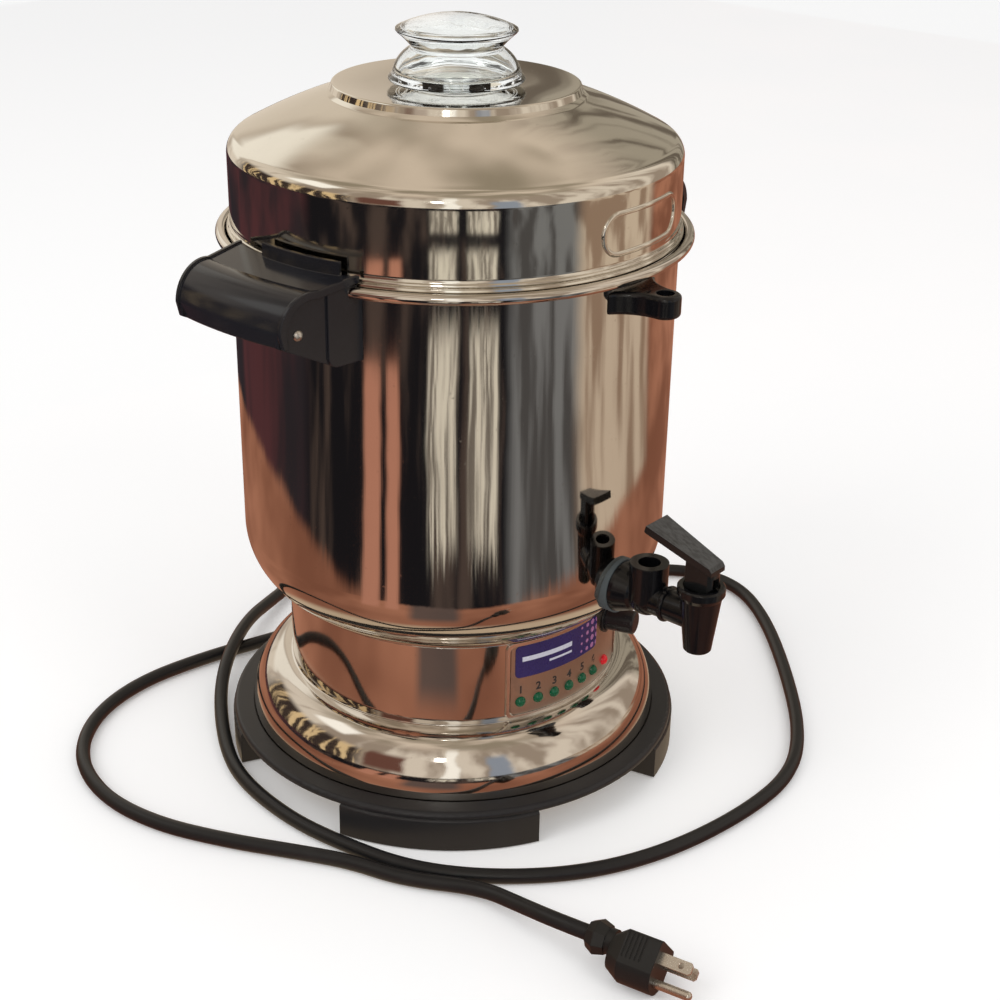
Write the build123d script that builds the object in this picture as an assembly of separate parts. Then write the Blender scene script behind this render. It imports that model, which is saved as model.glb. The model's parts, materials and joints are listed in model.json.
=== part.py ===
from build123d import *
from math import acos, asin, atan2, cos, degrees, hypot, pi, radians, sin, sqrt, tan
import os

# A polished steel coffee urn: a percolating vessel on a waisted pedestal, with a lid, two
# scoop handles, a lever tap, an indicator panel and a mains cord.  Millimetres.
# The urn stands on z = 0 with its axis on Z.  The tap points along -Y and the handles along
# +X and -X.  An azimuth is measured from the tap towards +X.

# ---------------------------------------------------------------- fits and clearances
SEAT_GAP = 0.3          # between pieces of different bodies that rest on each other
SLIDE_GAP = 0.4         # between pieces that slide past each other with play
PIN_FIT = 0.05          # radial clearance of a pin or stem that runs in its bore
PUSH_FIT = 0.1          # radial clearance of a pin or plug that is pushed in
FILM_GAP = 0.1          # film of glue under the thin sheets of the panel

# ---------------------------------------------------------------- driving dimensions
SHEET = 0.8             # stainless sheet of the vessel and pedestal
PLATE = 1.2             # steel plate of brackets

FOOT_H = 20.5           # floor to the underside of the base ring
FOOT_R = 138.3          # outer radius of the feet
FOOT_W = 25.3           # radial width of a foot
FOOT_SPAN = 49.0        # degrees that each foot covers
FOOT_TURN = -6.5        # degrees from the tap to the middle of the gap between two feet
FOOT_WALL = 3.0
PAD_DROP = 1.0          # how far the rubber pads stand below the feet
PAD_R = 7.6
PAD_STEM_R = 6.0
PAD_STEM_H = 2.8

RING_SETBACK = 1.0      # how far the base ring's edge stands inside the feet
RING_LAP = 7.0          # how far the base ring reaches in over the bottom plate
RING_T = 3.9            # thickness of the ring under the pedestal
RING_EDGE_R = 2.4       # rounding of the ring's shoulder
RING_LIP_H = 1.0        # height of the shoulder above the pedestal's ledge

SHOULDER_W = 12.3       # width of the base ring's shoulder round the pedestal
FLARE_LIP_H = 2.6       # straight lip under the flare
FLARE_LIP_W = 6.0       # width of the lip's turned-in edge
FLARE_H = 33.0          # height of the flare
NECK_R = 99.8           # outer radius of the pedestal's neck
NECK_H = 51.2

VESSEL_R = 125.0        # outer radius of the vessel's wall
VESSEL_BEND_R = 45.0    # bend between the wall and the flat bottom
VESSEL_H = 221.2        # underside of the bottom to the top of the rim's ledge
RIM_W = 4.4             # width of the rim's ledge outside the wall
RIM_BEAD_R = 2.9        # radius of the rolled bead
WELL_R = 26.0           # heater well in the bottom
WELL_DEPTH = 12.0

LID_OVER = 0.2          # how far the lid's skirt stands outside the vessel's wall
LID_SHEET = 0.8
LID_SKIRT_H = 42.5
LID_SHOULDER_R = 10.0
LID_CONE_ANGLE = 23.5   # degrees above the horizontal
LID_CROWN = 1.2         # how far the cone bulges
LID_STEP_R = 70.0       # foot of the raised disc
LID_STEP_H = 5.9
LID_DISC_R = 67.0
LID_DISH = 3.0          # how far the disc sinks at its middle
LID_PLUG_DEPTH = 11.0   # how far the lid reaches into the vessel
LID_BEAD_R = 1.3
BADGE_W = 70.0          # bare embossed frame on the lid's skirt
BADGE_H = 24.0
BADGE_BAND = 2.6
BADGE_RISE = 0.9
BADGE_AZIMUTH = 4.0
BADGE_Z = 22.0          # centre above the lid's lower edge

KNOB_H = 38.4           # glass knob, above the lid's disc
KNOB_FOOT_R = 24.0
KNOB_FLANGE_R = 37.5
KNOB_FLANGE_Z = 4.8
KNOB_BODY_R = 35.0      # widest place of the bell above the flange
KNOB_BODY_Z = 8.2
KNOB_BELL_R = 31.9      # where the bell bulges
KNOB_BELL_Z = 15.0
KNOB_WAIST_R = 24.6
KNOB_WAIST_Z = 21.3
KNOB_NECK_R = 28.2      # on the way from the waist to the top's rim
KNOB_NECK_Z = 25.2
KNOB_TOP_R = 32.9
KNOB_TOP_Z = 29.5
KNOB_TOP_T = 5.0        # thickness of the glass at the middle of the top
KNOB_WALL = 3.2
KNOB_STEM_R = 15.0
KNOB_NUT_R = 21.0
KNOB_NUT_H = 7.0

STEM_R = 4.5            # percolator pump tube
STEM_BORE_R = 3.5
STEM_BELL_R = 22.0
STEM_BELL_H = 16.0
STEM_COLLAR_R = 12.0
BASKET_R = 92.0
BASKET_H = 62.0
BASKET_SHEET = 0.7
BASKET_DROP = 92.2      # underside of the basket below the vessel's rim
BASKET_HOLE_R = 1.6
SPREADER_RIM_H = 6.0

TAP_Z = 144.0           # height of the tap's shank
SHANK_R = 7.5
SHANK_BORE_R = 5.0
TAP_WASHER_R = 16.0
TAP_WASHER_T = 2.6
TAP_COLLAR_R = 15.0
TAP_NECK_R = 9.5
TAP_NECK_REACH = 14.0   # outside the wall, where the collar has tapered to the pipe
PIPE_R = 9.0
GAUGE_REACH = 20.0      # gauge glass's axis outside the wall
GAUGE_BOSS_R = 11.0
GAUGE_BORE_R = 6.35
GAUGE_BORE_H = 12.5
GAUGE_BOSS_TOP = 21.0   # above the shank's axis
COUPLING_REACH = 32.4   # where the spout's coupling ring begins, outside the wall
COUPLING_W = 3.2
COUPLING_R = 10.4
SPOUT_REACH = 55.0      # spout's axis outside the wall
SPOUT_R = 11.6
SPOUT_TIP_R = 7.8
SPOUT_BORE_R = 8.0
SPOUT_TIP_BORE_R = 5.4
SPOUT_DROP = 20.5       # outlet below the shank's axis
SPOUT_CUP_R = 13.3      # lipped cup round the bonnet
SPOUT_CUP_H = 6.0
SPOUT_TOP = 19.5        # top of the cup above the shank's axis
BONNET_DROP = 2.3       # bonnet's top below the cup's top
BONNET_T = 4.0
VALVE_STEM_R = 2.6
VALVE_LIFT = 4.0
LEVER_TURN = 60.0       # degrees from shut to fully open
LEVER_HEAD_R = 9.4
LEVER_HEAD_W = 12.0     # across the fork that holds the pin
LEVER_PIN_H = 4.6       # pin above the bonnet
LEVER_PIN_R = 1.6
LEVER_SLOT_W = 5.8
LEVER_HEAD_H = 11.7     # head above the pin
LEVER_REACH = 32.0      # paddle's tip from the pin, towards the vessel
LEVER_RISE = 25.8       # paddle's tip above the pin
LEVER_TIP_W = 19.5
LEVER_ROOT_W = 12.8
LEVER_NOSE = 0.3        # how far the paddle's outer end stands proud of the head
LEVER_T = 4.6
LEVER_EDGE = 1.6        # chamfer of the head's outer top edge

GUIDE_DROP = 14.0       # middle of the gauge glass's guide below the vessel's rim
GUIDE_H = 12.5
GUIDE_RING_R = 8.6
GUIDE_BORE_R = 4.9
GUIDE_ROOT_W = 40.0     # across the guide's foot on the wall
GUIDE_EDGE_R = 2.4

HANDLE_ROOT_W = 87.0    # width of a handle at the vessel's wall
HANDLE_LIP_W = 77.6     # and at its outer lip
HANDLE_REACH = 47.0     # outer lip outside the vessel's wall
HANDLE_SWEEP_R = 240.0  # radius of the outer lip's curve in plan
HANDLE_TOP_UP = 3.8     # flat top above the vessel's rim
HANDLE_TOP_RISE = 2.6   # how far the top climbs towards the lid
HANDLE_RISE_REACH = 3.0 # outside the wall, where the climb ends
HANDLE_LIP_DROP = 21.2  # underside of the outer lip below the rim
HANDLE_BLOCK_DROP = 38.2  # underside of the mounting block below the rim
HANDLE_BLOCK_T = 9.5    # mounting block outside the wall
HANDLE_WALL = 3.0
HANDLE_END_WALL = 2.4
HANDLE_INSET = 2.4      # end walls set in from the hood's edges
HANDLE_ROLL = 0.9       # raised edge along the hood's ends
HANDLE_ROLL_W = 2.0
HANDLE_SHOULDER_T = 14.5  # shoulders at the block's ends, outside the wall
HANDLE_SHOULDER_W = 6.5
HANDLE_SHOULDER_OUT = 1.2 # how far they stand proud of the end walls
HANDLE_SHOULDER_R = 6.0
HANDLE_FLAT_REACH = 24.0  # outside the wall, where the flat top turns into the curve
GUARD_LEN = 52.0        # upright rib on the handle's top, beside the lid
GUARD_H = 7.0
GUARD_T = 2.6
GUARD_TURN = 4.0        # degrees that the rib sits off the handle's middle
LID_ROOM = 0.8          # between the lid's beads and the rib
HANDLE_SCREW_REACH = 32.0
HANDLE_SCREW_DROP = 16.2
HANDLE_SCREW_R = 3.0

PANEL_AZIMUTH_LOW = -30.5
PANEL_AZIMUTH_HIGH = 28.0
PANEL_Z_LOW = 61.6
PANEL_Z_HIGH = 111.4
PANEL_FRAME_W = 2.2
PANEL_FRAME_T = 1.3
PANEL_T = 0.5
LABEL_AZIMUTH_LOW = -27.5
LABEL_AZIMUTH_HIGH = 8.5
LABEL_Z_LOW = 88.0
LABEL_Z_HIGH = 108.9
LABEL_T = 0.25
LED_Z = 72.0
LED_R = 3.2
LED_AZIMUTHS = (-25.4, -18.8, -12.3, -5.8, 0.8, 7.4)
RED_LED_AZIMUTH = 15.5

BUTTON_AZIMUTH = 17.0
BUTTON_DROP = 6.992     # the button's middle below the vessel's bottom
BUTTON_R = 7.3
BUTTON_OUT = 19.0       # how far it stands out of the neck
BUTTON_TRAVEL = 3.5
BEZEL_R = 9.2
BEZEL_OUT = 1.6

TIE_ROD_R = 4.0
NUT_AF = 13.0
NUT_T = 6.5
ELEMENT_R = 48.0        # centre line of the ring-shaped heating element
ELEMENT_TUBE_R = 4.0
HEAT_PLATE_R = 72.0
HEAT_PLATE_T = 3.5
WELL_HEATER_R = 22.0
WELL_HEATER_T = 7.0
CLAMP_T = 1.6
BOTTOM_PLATE_ROOM = 2.0  # radial room between the bottom plate and the feet
PLATE_SCREW_IN = 3.4    # the plate's screws inside the plate's edge

CORD_D = 8.6
PLUG_W = 25.0
PLUG_UP = 8.0           # plug's body above the blades' centre line
PLUG_DOWN = 18.2        # and below it
PLUG_BODY_L = 27.0
PLUG_COLLAR_R = 9.8
PLUG_COLLAR_L = 11.0
PLUG_NECK_L = 4.0
BLADE_W = 6.35
BLADE_T = 1.5
BLADE_L = 17.5
BLADE_PITCH = 12.7
PIN_DROP = 11.9         # ground pin below the blades
GROUND_PIN_R = 2.4
GROUND_PIN_L = 20.5
PIN_ROOT_R = 2.0        # pin's root inside the plug
PLUG_ROLL = -50.0       # how far the plug has rolled over where it lies

# The cord's route over the table, from its strain relief to the plug.
CORD_ROUTE = [
    (144.5, 20.0, 12.5),
    (159.7, 24.94, 12.5),
    (189.0, 36.5, 8.0),
    (223.0, 38.0, 4.4),
    (253.0, 22.0, 4.4),
    (270.0, -7.0, 4.4),
    (268.0, -42.0, 4.4),
    (240.0, -81.0, 4.4),
    (190.0, -129.0, 4.4),
    (134.0, -175.0, 4.4),
    (88.0, -197.5, 4.4),
    (36.0, -198.5, 4.4),
    (-24.0, -187.0, 4.4),
    (-72.0, -164.0, 4.4),
    (-110.0, -128.0, 4.4),
    (-134.5, -88.0, 4.4),
    (-143.5, -42.0, 4.4),
    (-146.5, -4.0, 4.4),
    (-139.5, 44.0, 4.4),
    (-122.0, 80.0, 4.4),
    (-88.0, 124.0, 7.5),
    (-59.0, 149.0, 14.2),
    (-18.0, 176.0, 14.2),
    (23.0, 194.0, 8.0),
    (65.0, 209.0, 4.4),
    (104.0, 222.0, 4.4),
    (132.0, 216.0, 4.4),
    (155.0, 197.0, 4.4),
    (166.0, 170.0, 4.4),
    (161.0, 140.0, 4.4),
    (140.0, 118.0, 4.4),
    (111.0, 112.0, 4.4),
    (72.0, 128.0, 4.4),
    (32.0, 145.0, 4.4),
    (-14.0, 158.0, 4.4),
    (-60.0, 172.0, 4.4),
    (-109.0, 179.0, 4.4),
    (-154.0, 168.0, 4.4),
    (-189.0, 138.0, 4.4),
    (-205.0, 95.0, 4.4),
    (-202.0, 50.0, 4.4),
    (-184.5, 5.5, 4.4),
    (-164.0, -34.0, 4.4),
    (-151.5, -60.0, 4.4),
    (-143.3, -92.0, 4.4),
    (-122.0, -131.0, 6.2),
    (-123.0, -160.0, 10.4),
    (-126.6, -187.0, 16.9),
    (-122.9, -206.8, 16.9),
]

# ---------------------------------------------------------------- places that follow
FOOT_IN_R = FOOT_R - FOOT_W
BOTTOM_PLATE_R = FOOT_IN_R - BOTTOM_PLATE_ROOM
PLATE_SCREW_OUT = BOTTOM_PLATE_R - PLATE_SCREW_IN
RING_R = FOOT_R - RING_SETBACK                              # outer radius of the base ring
RING_IN_R = BOTTOM_PLATE_R - RING_LAP
FLARE_R = RING_R - SHOULDER_W                               # outer radius of the pedestal's foot
LEDGE_Z = FOOT_H + RING_T                                   # pedestal's seat on the ring
CREASE_Z = LEDGE_Z + FLARE_LIP_H + FLARE_H                  # flare meets neck
NECK_TOP_Z = CREASE_Z + NECK_H
BEND_CENTRE_R = VESSEL_R - VESSEL_BEND_R
BEND_CENTRE_Z = NECK_TOP_Z + sqrt(VESSEL_BEND_R**2 - (NECK_R - SHEET - BEND_CENTRE_R) ** 2)
FLOOR_Z = BEND_CENTRE_Z - VESSEL_BEND_R                     # underside of the vessel's bottom
BUTTON_Z = FLOOR_Z - BUTTON_DROP
WELL_Z = FLOOR_Z - WELL_DEPTH
RIM_Z = FLOOR_Z + VESSEL_H                                  # ledge that carries the lid
BEAD_R = VESSEL_R + RIM_W + 1.1                             # centre line of the rolled bead
LID_R = VESSEL_R + LID_OVER
LID_BEAD_OUT = LID_R + 1.1 * LID_BEAD_R + 0.6               # outside of the skirt's beads
LID_Z = RIM_Z + SEAT_GAP
SHOULDER_Z = LID_Z + LID_SKIRT_H
CONE = radians(LID_CONE_ANGLE)
CONE_FOOT_R = LID_R - LID_SHOULDER_R + LID_SHOULDER_R * sin(CONE)
CONE_FOOT_Z = SHOULDER_Z + LID_SHOULDER_R * cos(CONE)
STEP_Z = CONE_FOOT_Z + (CONE_FOOT_R - LID_STEP_R) * tan(CONE)
DISC_Z = STEP_Z + LID_STEP_H
KNOB_Z = DISC_Z - LID_DISH
BASKET_Z = RIM_Z - BASKET_DROP
GUIDE_Z = RIM_Z - GUIDE_DROP
HANDLE_TOP_Z = RIM_Z + HANDLE_TOP_UP
HANDLE_LIP_Z = RIM_Z - HANDLE_LIP_DROP
HANDLE_BLOCK_Z = RIM_Z - HANDLE_BLOCK_DROP
HANDLE_SCREW_Z = RIM_Z - HANDLE_SCREW_DROP

# Distances from the urn's axis.
HANDLE_OUT = VESSEL_R + HANDLE_REACH
HANDLE_BLOCK_OUT = VESSEL_R + HANDLE_BLOCK_T
HANDLE_RISE_OUT = VESSEL_R + HANDLE_RISE_REACH
HANDLE_FLAT_OUT = VESSEL_R + HANDLE_FLAT_REACH
HANDLE_SCREW_OUT = VESSEL_R + HANDLE_SCREW_REACH
TAP_NECK_OUT = VESSEL_R + TAP_NECK_REACH
GAUGE_OUT = VESSEL_R + GAUGE_REACH
COUPLING_OUT = VESSEL_R + COUPLING_REACH
SPOUT_OUT = VESSEL_R + SPOUT_REACH

os.makedirs("parts", exist_ok=True)
written = []


def save(name, *solids):
    """Write the solids of one node."""
    shape = solids[0] if len(solids) == 1 else Compound(children=list(solids))
    export_step(shape, f"parts/{name}.step")
    written.append((name, shape))


def closed(*points):
    """A closed straight-sided outline."""
    return Polyline(*points, points[0])


def dome(radius, low, rise):
    """The arc of a round dome, from its rim up to the axis."""
    ball = (radius**2 + rise**2) / (2 * rise)
    centre = low + rise - ball
    rim = degrees(atan2(low - centre, radius))
    return CenterArc((0, centre), ball, rim, 90 - rim)


def turned(outline, arc=360.0, start=0.0):
    """Turn a closed (radius, height) outline about Z, from an azimuth."""
    face = Plane.XZ * make_face(outline.edges())
    return Rot(0, 0, start - 90) * revolve(face, Axis.Z, arc)


def ring(inner, outer, low, high):
    """A plain washer-shaped solid about Z."""
    if inner > 0:
        return Pos(0, 0, low) * extrude(Circle(outer) - Circle(inner), high - low)
    return Pos(0, 0, low) * extrude(Circle(outer), high - low)


def outward(azimuth, radius=0.0, height=0.0):
    """A plane at a place round the urn: x along the rim, y up, z straight out."""
    a = radians(azimuth)
    origin = (radius * sin(a), -radius * cos(a), height)
    return Plane(origin=origin, x_dir=(cos(a), sin(a), 0), z_dir=(sin(a), -cos(a), 0))


def standing(azimuth, radius):
    """A place round the urn for a solid that stands along Z and faces the tap's way."""
    return outward(azimuth, radius).location * Rot(-90, 0, 0) * Rot(0, 0, 180)


def patch(az_low, az_high, z_low, z_high, r_low, r_high, corner, inset=0.0):
    """A rounded rectangle that lies round the urn between two radii."""
    middle = (az_low + az_high) / 2
    width = 2 * r_high * sin(radians((az_high - az_low) / 2)) - 2 * inset
    height = z_high - z_low - 2 * inset
    plane = outward(middle, 0, (z_low + z_high) / 2)
    block = extrude(plane * RectangleRounded(width, height, corner), 2 * r_high)
    return block & ring(r_low, r_high, z_low, z_high)


def hexagon(across_flats, low, high, bore):
    """A plain hexagon nut about Z."""
    sketch = RegularPolygon(across_flats / 2, 6, major_radius=False) - Circle(bore)
    return Pos(0, 0, low) * extrude(sketch, high - low)


# ---------------------------------------------------------------- vessel
def vessel_form(inset, top):
    """The vessel's body, moved inwards by inset and filled up to a height."""
    wall = VESSEL_R - inset
    bend = VESSEL_BEND_R - inset
    low = FLOOR_Z + inset
    centre = (BEND_CENTRE_R, BEND_CENTRE_Z)
    outline = (
        Line((0, low), (BEND_CENTRE_R, low))
        + CenterArc(centre, bend, -90, 90)
        + Polyline((wall, BEND_CENTRE_Z), (wall, top), (0, top), (0, low))
    )
    return turned(outline) + ring(0, WELL_R - inset, WELL_Z + inset, FLOOR_Z + 2 * SHEET)


def rim_form():
    """Ledge and rolled bead round the vessel's mouth."""
    ledge = ring(VESSEL_R - SHEET, BEAD_R, RIM_Z - SHEET, RIM_Z)
    bead_z = RIM_Z - 1.2
    bead = revolve(Plane.XZ * Pos(BEAD_R, bead_z) * Circle(RIM_BEAD_R), Axis.Z)
    return ledge + bead


vessel_outside = vessel_form(0, RIM_Z)
vessel = vessel_outside - vessel_form(SHEET, RIM_Z + SHEET) + rim_form()
tap_axis = outward(0, 0, TAP_Z)
tap_hole = extrude(tap_axis * Circle(SHANK_R + PUSH_FIT), VESSEL_R + SHEET)
save("vessel", vessel - tap_hole)


# ---------------------------------------------------------------- pedestal
def pedestal_form(inset, low, top):
    """The waisted pedestal, moved inwards by inset and filled."""
    spring = LEDGE_Z + FLARE_LIP_H
    crease = NECK_R + 0.2
    wide, tall = FLARE_R - crease - inset, FLARE_H - inset
    outline = (
        Polyline((0, low), (FLARE_R - inset, low), (FLARE_R - inset, spring))
        + EllipticalCenterArc((crease, spring), wide, tall, 0, arc_size=90)
        + Polyline(
            (crease, spring + tall),
            (NECK_R - inset, spring + tall),
            (NECK_R - inset, top),
            (0, top),
            (0, low),
        )
    )
    return turned(outline)


pedestal = pedestal_form(0, LEDGE_Z, NECK_TOP_Z) - pedestal_form(SHEET, 0, NECK_TOP_Z + SHEET)
pedestal += ring(FLARE_R - FLARE_LIP_W, FLARE_R - SHEET / 2, LEDGE_Z, LEDGE_Z + SHEET)
for azimuth in (*LED_AZIMUTHS, RED_LED_AZIMUTH):
    pedestal -= extrude(outward(azimuth, 0, LED_Z) * Circle(LED_R + PUSH_FIT), NECK_R + PLATE)
bezel_hole = extrude(outward(BUTTON_AZIMUTH, 0, BUTTON_Z) * Circle(BUTTON_R + 1.3), NECK_R + 9)
save("pedestal", pedestal - bezel_hole)

# ---------------------------------------------------------------- base ring with its feet
LOCATING_R = FLARE_R - FLARE_LIP_W - SLIDE_GAP
SHOULDER_TOP = LEDGE_Z + RING_LIP_H
ring_outline = (
    Polyline(
        (RING_IN_R, FOOT_H),
        (RING_R - 1, FOOT_H),
        (RING_R, FOOT_H + 1),
        (RING_R, SHOULDER_TOP - RING_EDGE_R),
    )
    + CenterArc((RING_R - RING_EDGE_R, SHOULDER_TOP - RING_EDGE_R), RING_EDGE_R, 0, 90)
    + Polyline(
        (RING_R - RING_EDGE_R, SHOULDER_TOP),
        (FLARE_R + SLIDE_GAP, SHOULDER_TOP),
        (FLARE_R + SLIDE_GAP, LEDGE_Z),
        (LOCATING_R, LEDGE_Z),
        (LOCATING_R, LEDGE_Z + 5),
        (LOCATING_R - 2.5, LEDGE_Z + 5),
        (LOCATING_R - 2.5, LEDGE_Z - 1.4),
        (RING_IN_R, LEDGE_Z - 1.4),
        (RING_IN_R, FOOT_H),
    )
)
base_ring = turned(ring_outline)
FOOT_MIDDLES = [FOOT_TURN + 45 + 90 * i for i in range(4)]
foot_outline = (
    Polyline(
        (FOOT_IN_R, PAD_DROP), (FOOT_R, PAD_DROP), (FOOT_R, FOOT_H - 1.0)
    )
    + CenterArc((FOOT_R - 1.5, FOOT_H - 1.0), 1.5, 0, 90)
    + Polyline((FOOT_R - 1.5, FOOT_H + 0.5), (FOOT_IN_R, FOOT_H + 0.5), (FOOT_IN_R, PAD_DROP))
)
pocket_outline = closed(
    (FOOT_IN_R + FOOT_WALL, 0),
    (FOOT_R - FOOT_WALL, 0),
    (FOOT_R - FOOT_WALL, FOOT_H),
    (FOOT_IN_R + FOOT_WALL, FOOT_H),
)
wall_angle = degrees(FOOT_WALL / FOOT_R)
PAD_OUT = (FOOT_IN_R + FOOT_R) / 2
pads = []
for middle in FOOT_MIDDLES:
    first = middle - FOOT_SPAN / 2
    foot = turned(foot_outline, FOOT_SPAN, first)
    foot -= turned(pocket_outline, FOOT_SPAN - 2 * wall_angle, first + wall_angle)
    boss = ring(PAD_STEM_R + PUSH_FIT, FOOT_WALL + PAD_STEM_R, PAD_DROP, PAD_DROP + PAD_STEM_H)
    boss += ring(0, FOOT_WALL + PAD_STEM_R, PAD_DROP + PAD_STEM_H, FOOT_H)
    foot += standing(middle, PAD_OUT) * boss
    for rib in (middle - FOOT_SPAN / 4, middle + FOOT_SPAN / 4):
        depth = FOOT_R - FOOT_IN_R - FOOT_WALL
        height = FOOT_H - 2 * FOOT_WALL
        web = Box(2.2, depth, height)
        foot += standing(rib, PAD_OUT) * Pos(0, 0, FOOT_H - height / 2) * web
    base_ring += foot
    pad = ring(0, PAD_R, 0, PAD_DROP) + ring(0, PAD_STEM_R, PAD_DROP, PAD_DROP + PAD_STEM_H)
    pads.append(standing(middle, PAD_OUT) * pad)

# The cord leaves through a short carrier under the ring, in the gap between two feet.
RELIEF_L = 24.0
CARRIER_W = 19.0
CARRIER_T = 9.0
CORD_EXIT = Vector(*CORD_ROUTE[0])
exit_way = (Vector(*CORD_ROUTE[1]) - CORD_EXIT).normalized()
exit_plane = Plane(origin=CORD_EXIT, x_dir=(-exit_way.Y, exit_way.X, 0), z_dir=exit_way)
carrier_low = 4.0
carrier = Pos(0, (carrier_low + FOOT_H + 0.5) / 2 - CORD_EXIT.Z, -RELIEF_L - CARRIER_T / 2) * Box(
    CARRIER_W, FOOT_H + 0.5 - carrier_low, CARRIER_T
)
carrier -= Pos(0, 0, -RELIEF_L - CARRIER_T) * extrude(Circle(CORD_D / 2 + 1.2), CARRIER_T)
base_ring += exit_plane.location * carrier
PLATE_SCREW_R = 1.8
plate_screw_places = [standing(middle, PLATE_SCREW_OUT) for middle in FOOT_MIDDLES]
for place in plate_screw_places:
    base_ring -= place * ring(0, PLATE_SCREW_R, FOOT_H - 1, LEDGE_Z - 2.2)
save("base_ring", base_ring)
save("foot_pads", *pads)

relief_outline = closed(
    (0, -RELIEF_L - CARRIER_T - 2),
    (CORD_D / 2 + 2.4, -RELIEF_L - CARRIER_T - 2),
    (CORD_D / 2 + 2.4, -RELIEF_L - CARRIER_T),
    (CORD_D / 2 + 1.1, -RELIEF_L - CARRIER_T),
    (CORD_D / 2 + 1.1, -RELIEF_L),
    (CORD_D / 2 + 3.4, -RELIEF_L),
    (CORD_D / 2 + 3.4, -RELIEF_L + 3),
    (CORD_D / 2 + 2.4, -RELIEF_L + 3.6),
    (CORD_D / 2 + 0.8, 0),
    (0, 0),
)
save("strain_relief", exit_plane.location * turned(relief_outline))

# ---------------------------------------------------------------- bottom plate and its fixings
bottom_plate = ring(TIE_ROD_R + PUSH_FIT, BOTTOM_PLATE_R, FOOT_H - PLATE, FOOT_H)
for place in plate_screw_places:
    bottom_plate -= place * ring(0, PLATE_SCREW_R, FOOT_H - 2 * PLATE, FOOT_H + PLATE)
vent = SlotOverall(26, 5)
VENT_OUT = BOTTOM_PLATE_R - 29
for i in range(10):
    cut = standing(36 * i + 18, VENT_OUT) * Pos(0, 0, FOOT_H - 2 * PLATE) * extrude(vent, 3 * PLATE)
    bottom_plate -= cut
save("bottom_plate", bottom_plate)
screw = ring(0, PLATE_SCREW_R, FOOT_H - PLATE, FOOT_H + 1.4)
screw += ring(0, 2 * PLATE_SCREW_R, FOOT_H - PLATE - 1.6, FOOT_H - PLATE)
save("plate_screws", *[place * screw for place in plate_screw_places])

# ---------------------------------------------------------------- heater under the vessel
heat_plate_low = FLOOR_Z - HEAT_PLATE_T
save("heat_plate", ring(WELL_R + SLIDE_GAP, HEAT_PLATE_R, heat_plate_low, FLOOR_Z))
element_z = heat_plate_low - ELEMENT_TUBE_R
element = revolve(
    Plane.XZ * Pos(ELEMENT_R, element_z) * Circle(ELEMENT_TUBE_R), Axis.Z, 330
)
element = Rot(0, 0, 105) * element
LEG_H = 20.0
for azimuth in (165.0, 195.0):
    element += standing(azimuth, ELEMENT_R) * ring(0, 3.4, element_z - LEG_H, element_z)
save("heating_element", element)
well_heater_low = WELL_Z - WELL_HEATER_T
well_heater = ring(TIE_ROD_R + PUSH_FIT, WELL_HEATER_R, well_heater_low, WELL_Z)
for azimuth in (80.0, 100.0):
    tab = Box(1.0, 9.0, 5.0)
    well_heater += standing(azimuth, WELL_HEATER_R + 2) * Pos(0, 0, WELL_Z - 3.5) * tab
save("well_heater", well_heater)
clamp_top = well_heater_low
clamp = ring(TIE_ROD_R + PUSH_FIT, 14, clamp_top - CLAMP_T, clamp_top)
element_low = element_z - ELEMENT_TUBE_R
for azimuth in (0.0, 120.0, 240.0):
    arm = Pos(0, ELEMENT_R / 2, clamp_top - CLAMP_T / 2) * Box(12, ELEMENT_R, CLAMP_T)
    hole = ring(0, TIE_ROD_R + PUSH_FIT, clamp_top - 2 * CLAMP_T, clamp_top + CLAMP_T)
    post = Pos(0, ELEMENT_R, 0) * ring(0, 5, clamp_top - CLAMP_T, element_low)
    clamp += Rot(0, 0, azimuth + 180) * (arm + post - hole)
save("element_clamp", clamp)
rod_low = FOOT_H - PLATE - NUT_T - 2
save("tie_rod", ring(0, TIE_ROD_R, rod_low, WELL_Z))
clamp_nut = hexagon(NUT_AF, clamp_top - CLAMP_T - NUT_T, clamp_top - CLAMP_T, TIE_ROD_R)
plate_nut = hexagon(NUT_AF, FOOT_H - PLATE - NUT_T, FOOT_H - PLATE, TIE_ROD_R)
save("tie_nuts", clamp_nut, plate_nut)
thermostat = ring(0, 8.5, heat_plate_low - 8, heat_plate_low)
thermostat += Pos(0, 0, heat_plate_low - 10) * Box(3, 13, 6)
THERMOSTAT_OUT = 62.5
save("thermostats", *[standing(azimuth, THERMOSTAT_OUT) * thermostat for azimuth in (60.0, -60.0)])
fuse_axis = outward(130, THERMOSTAT_OUT, heat_plate_low - 2.6)
fuse = extrude(fuse_axis * Rot(0, 90, 0) * Circle(2.6), 8, both=True)
fuse += extrude(fuse_axis * Rot(0, 90, 0) * Circle(0.8), 14, both=True)
save("thermal_fuse", fuse)
block_z = FOOT_H + 7
terminal_block = Pos(0, 0, block_z) * Box(42, 16, 14)
for x in (-13, 0, 13):
    terminal_block -= Pos(x, 0, block_z + 4) * Cylinder(3, 8)
    terminal_block -= Pos(x, 0, block_z + 1) * Rot(90, 0, 0) * Cylinder(2, 20)
save("terminal_block", standing(120, 60) * terminal_block)

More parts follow.
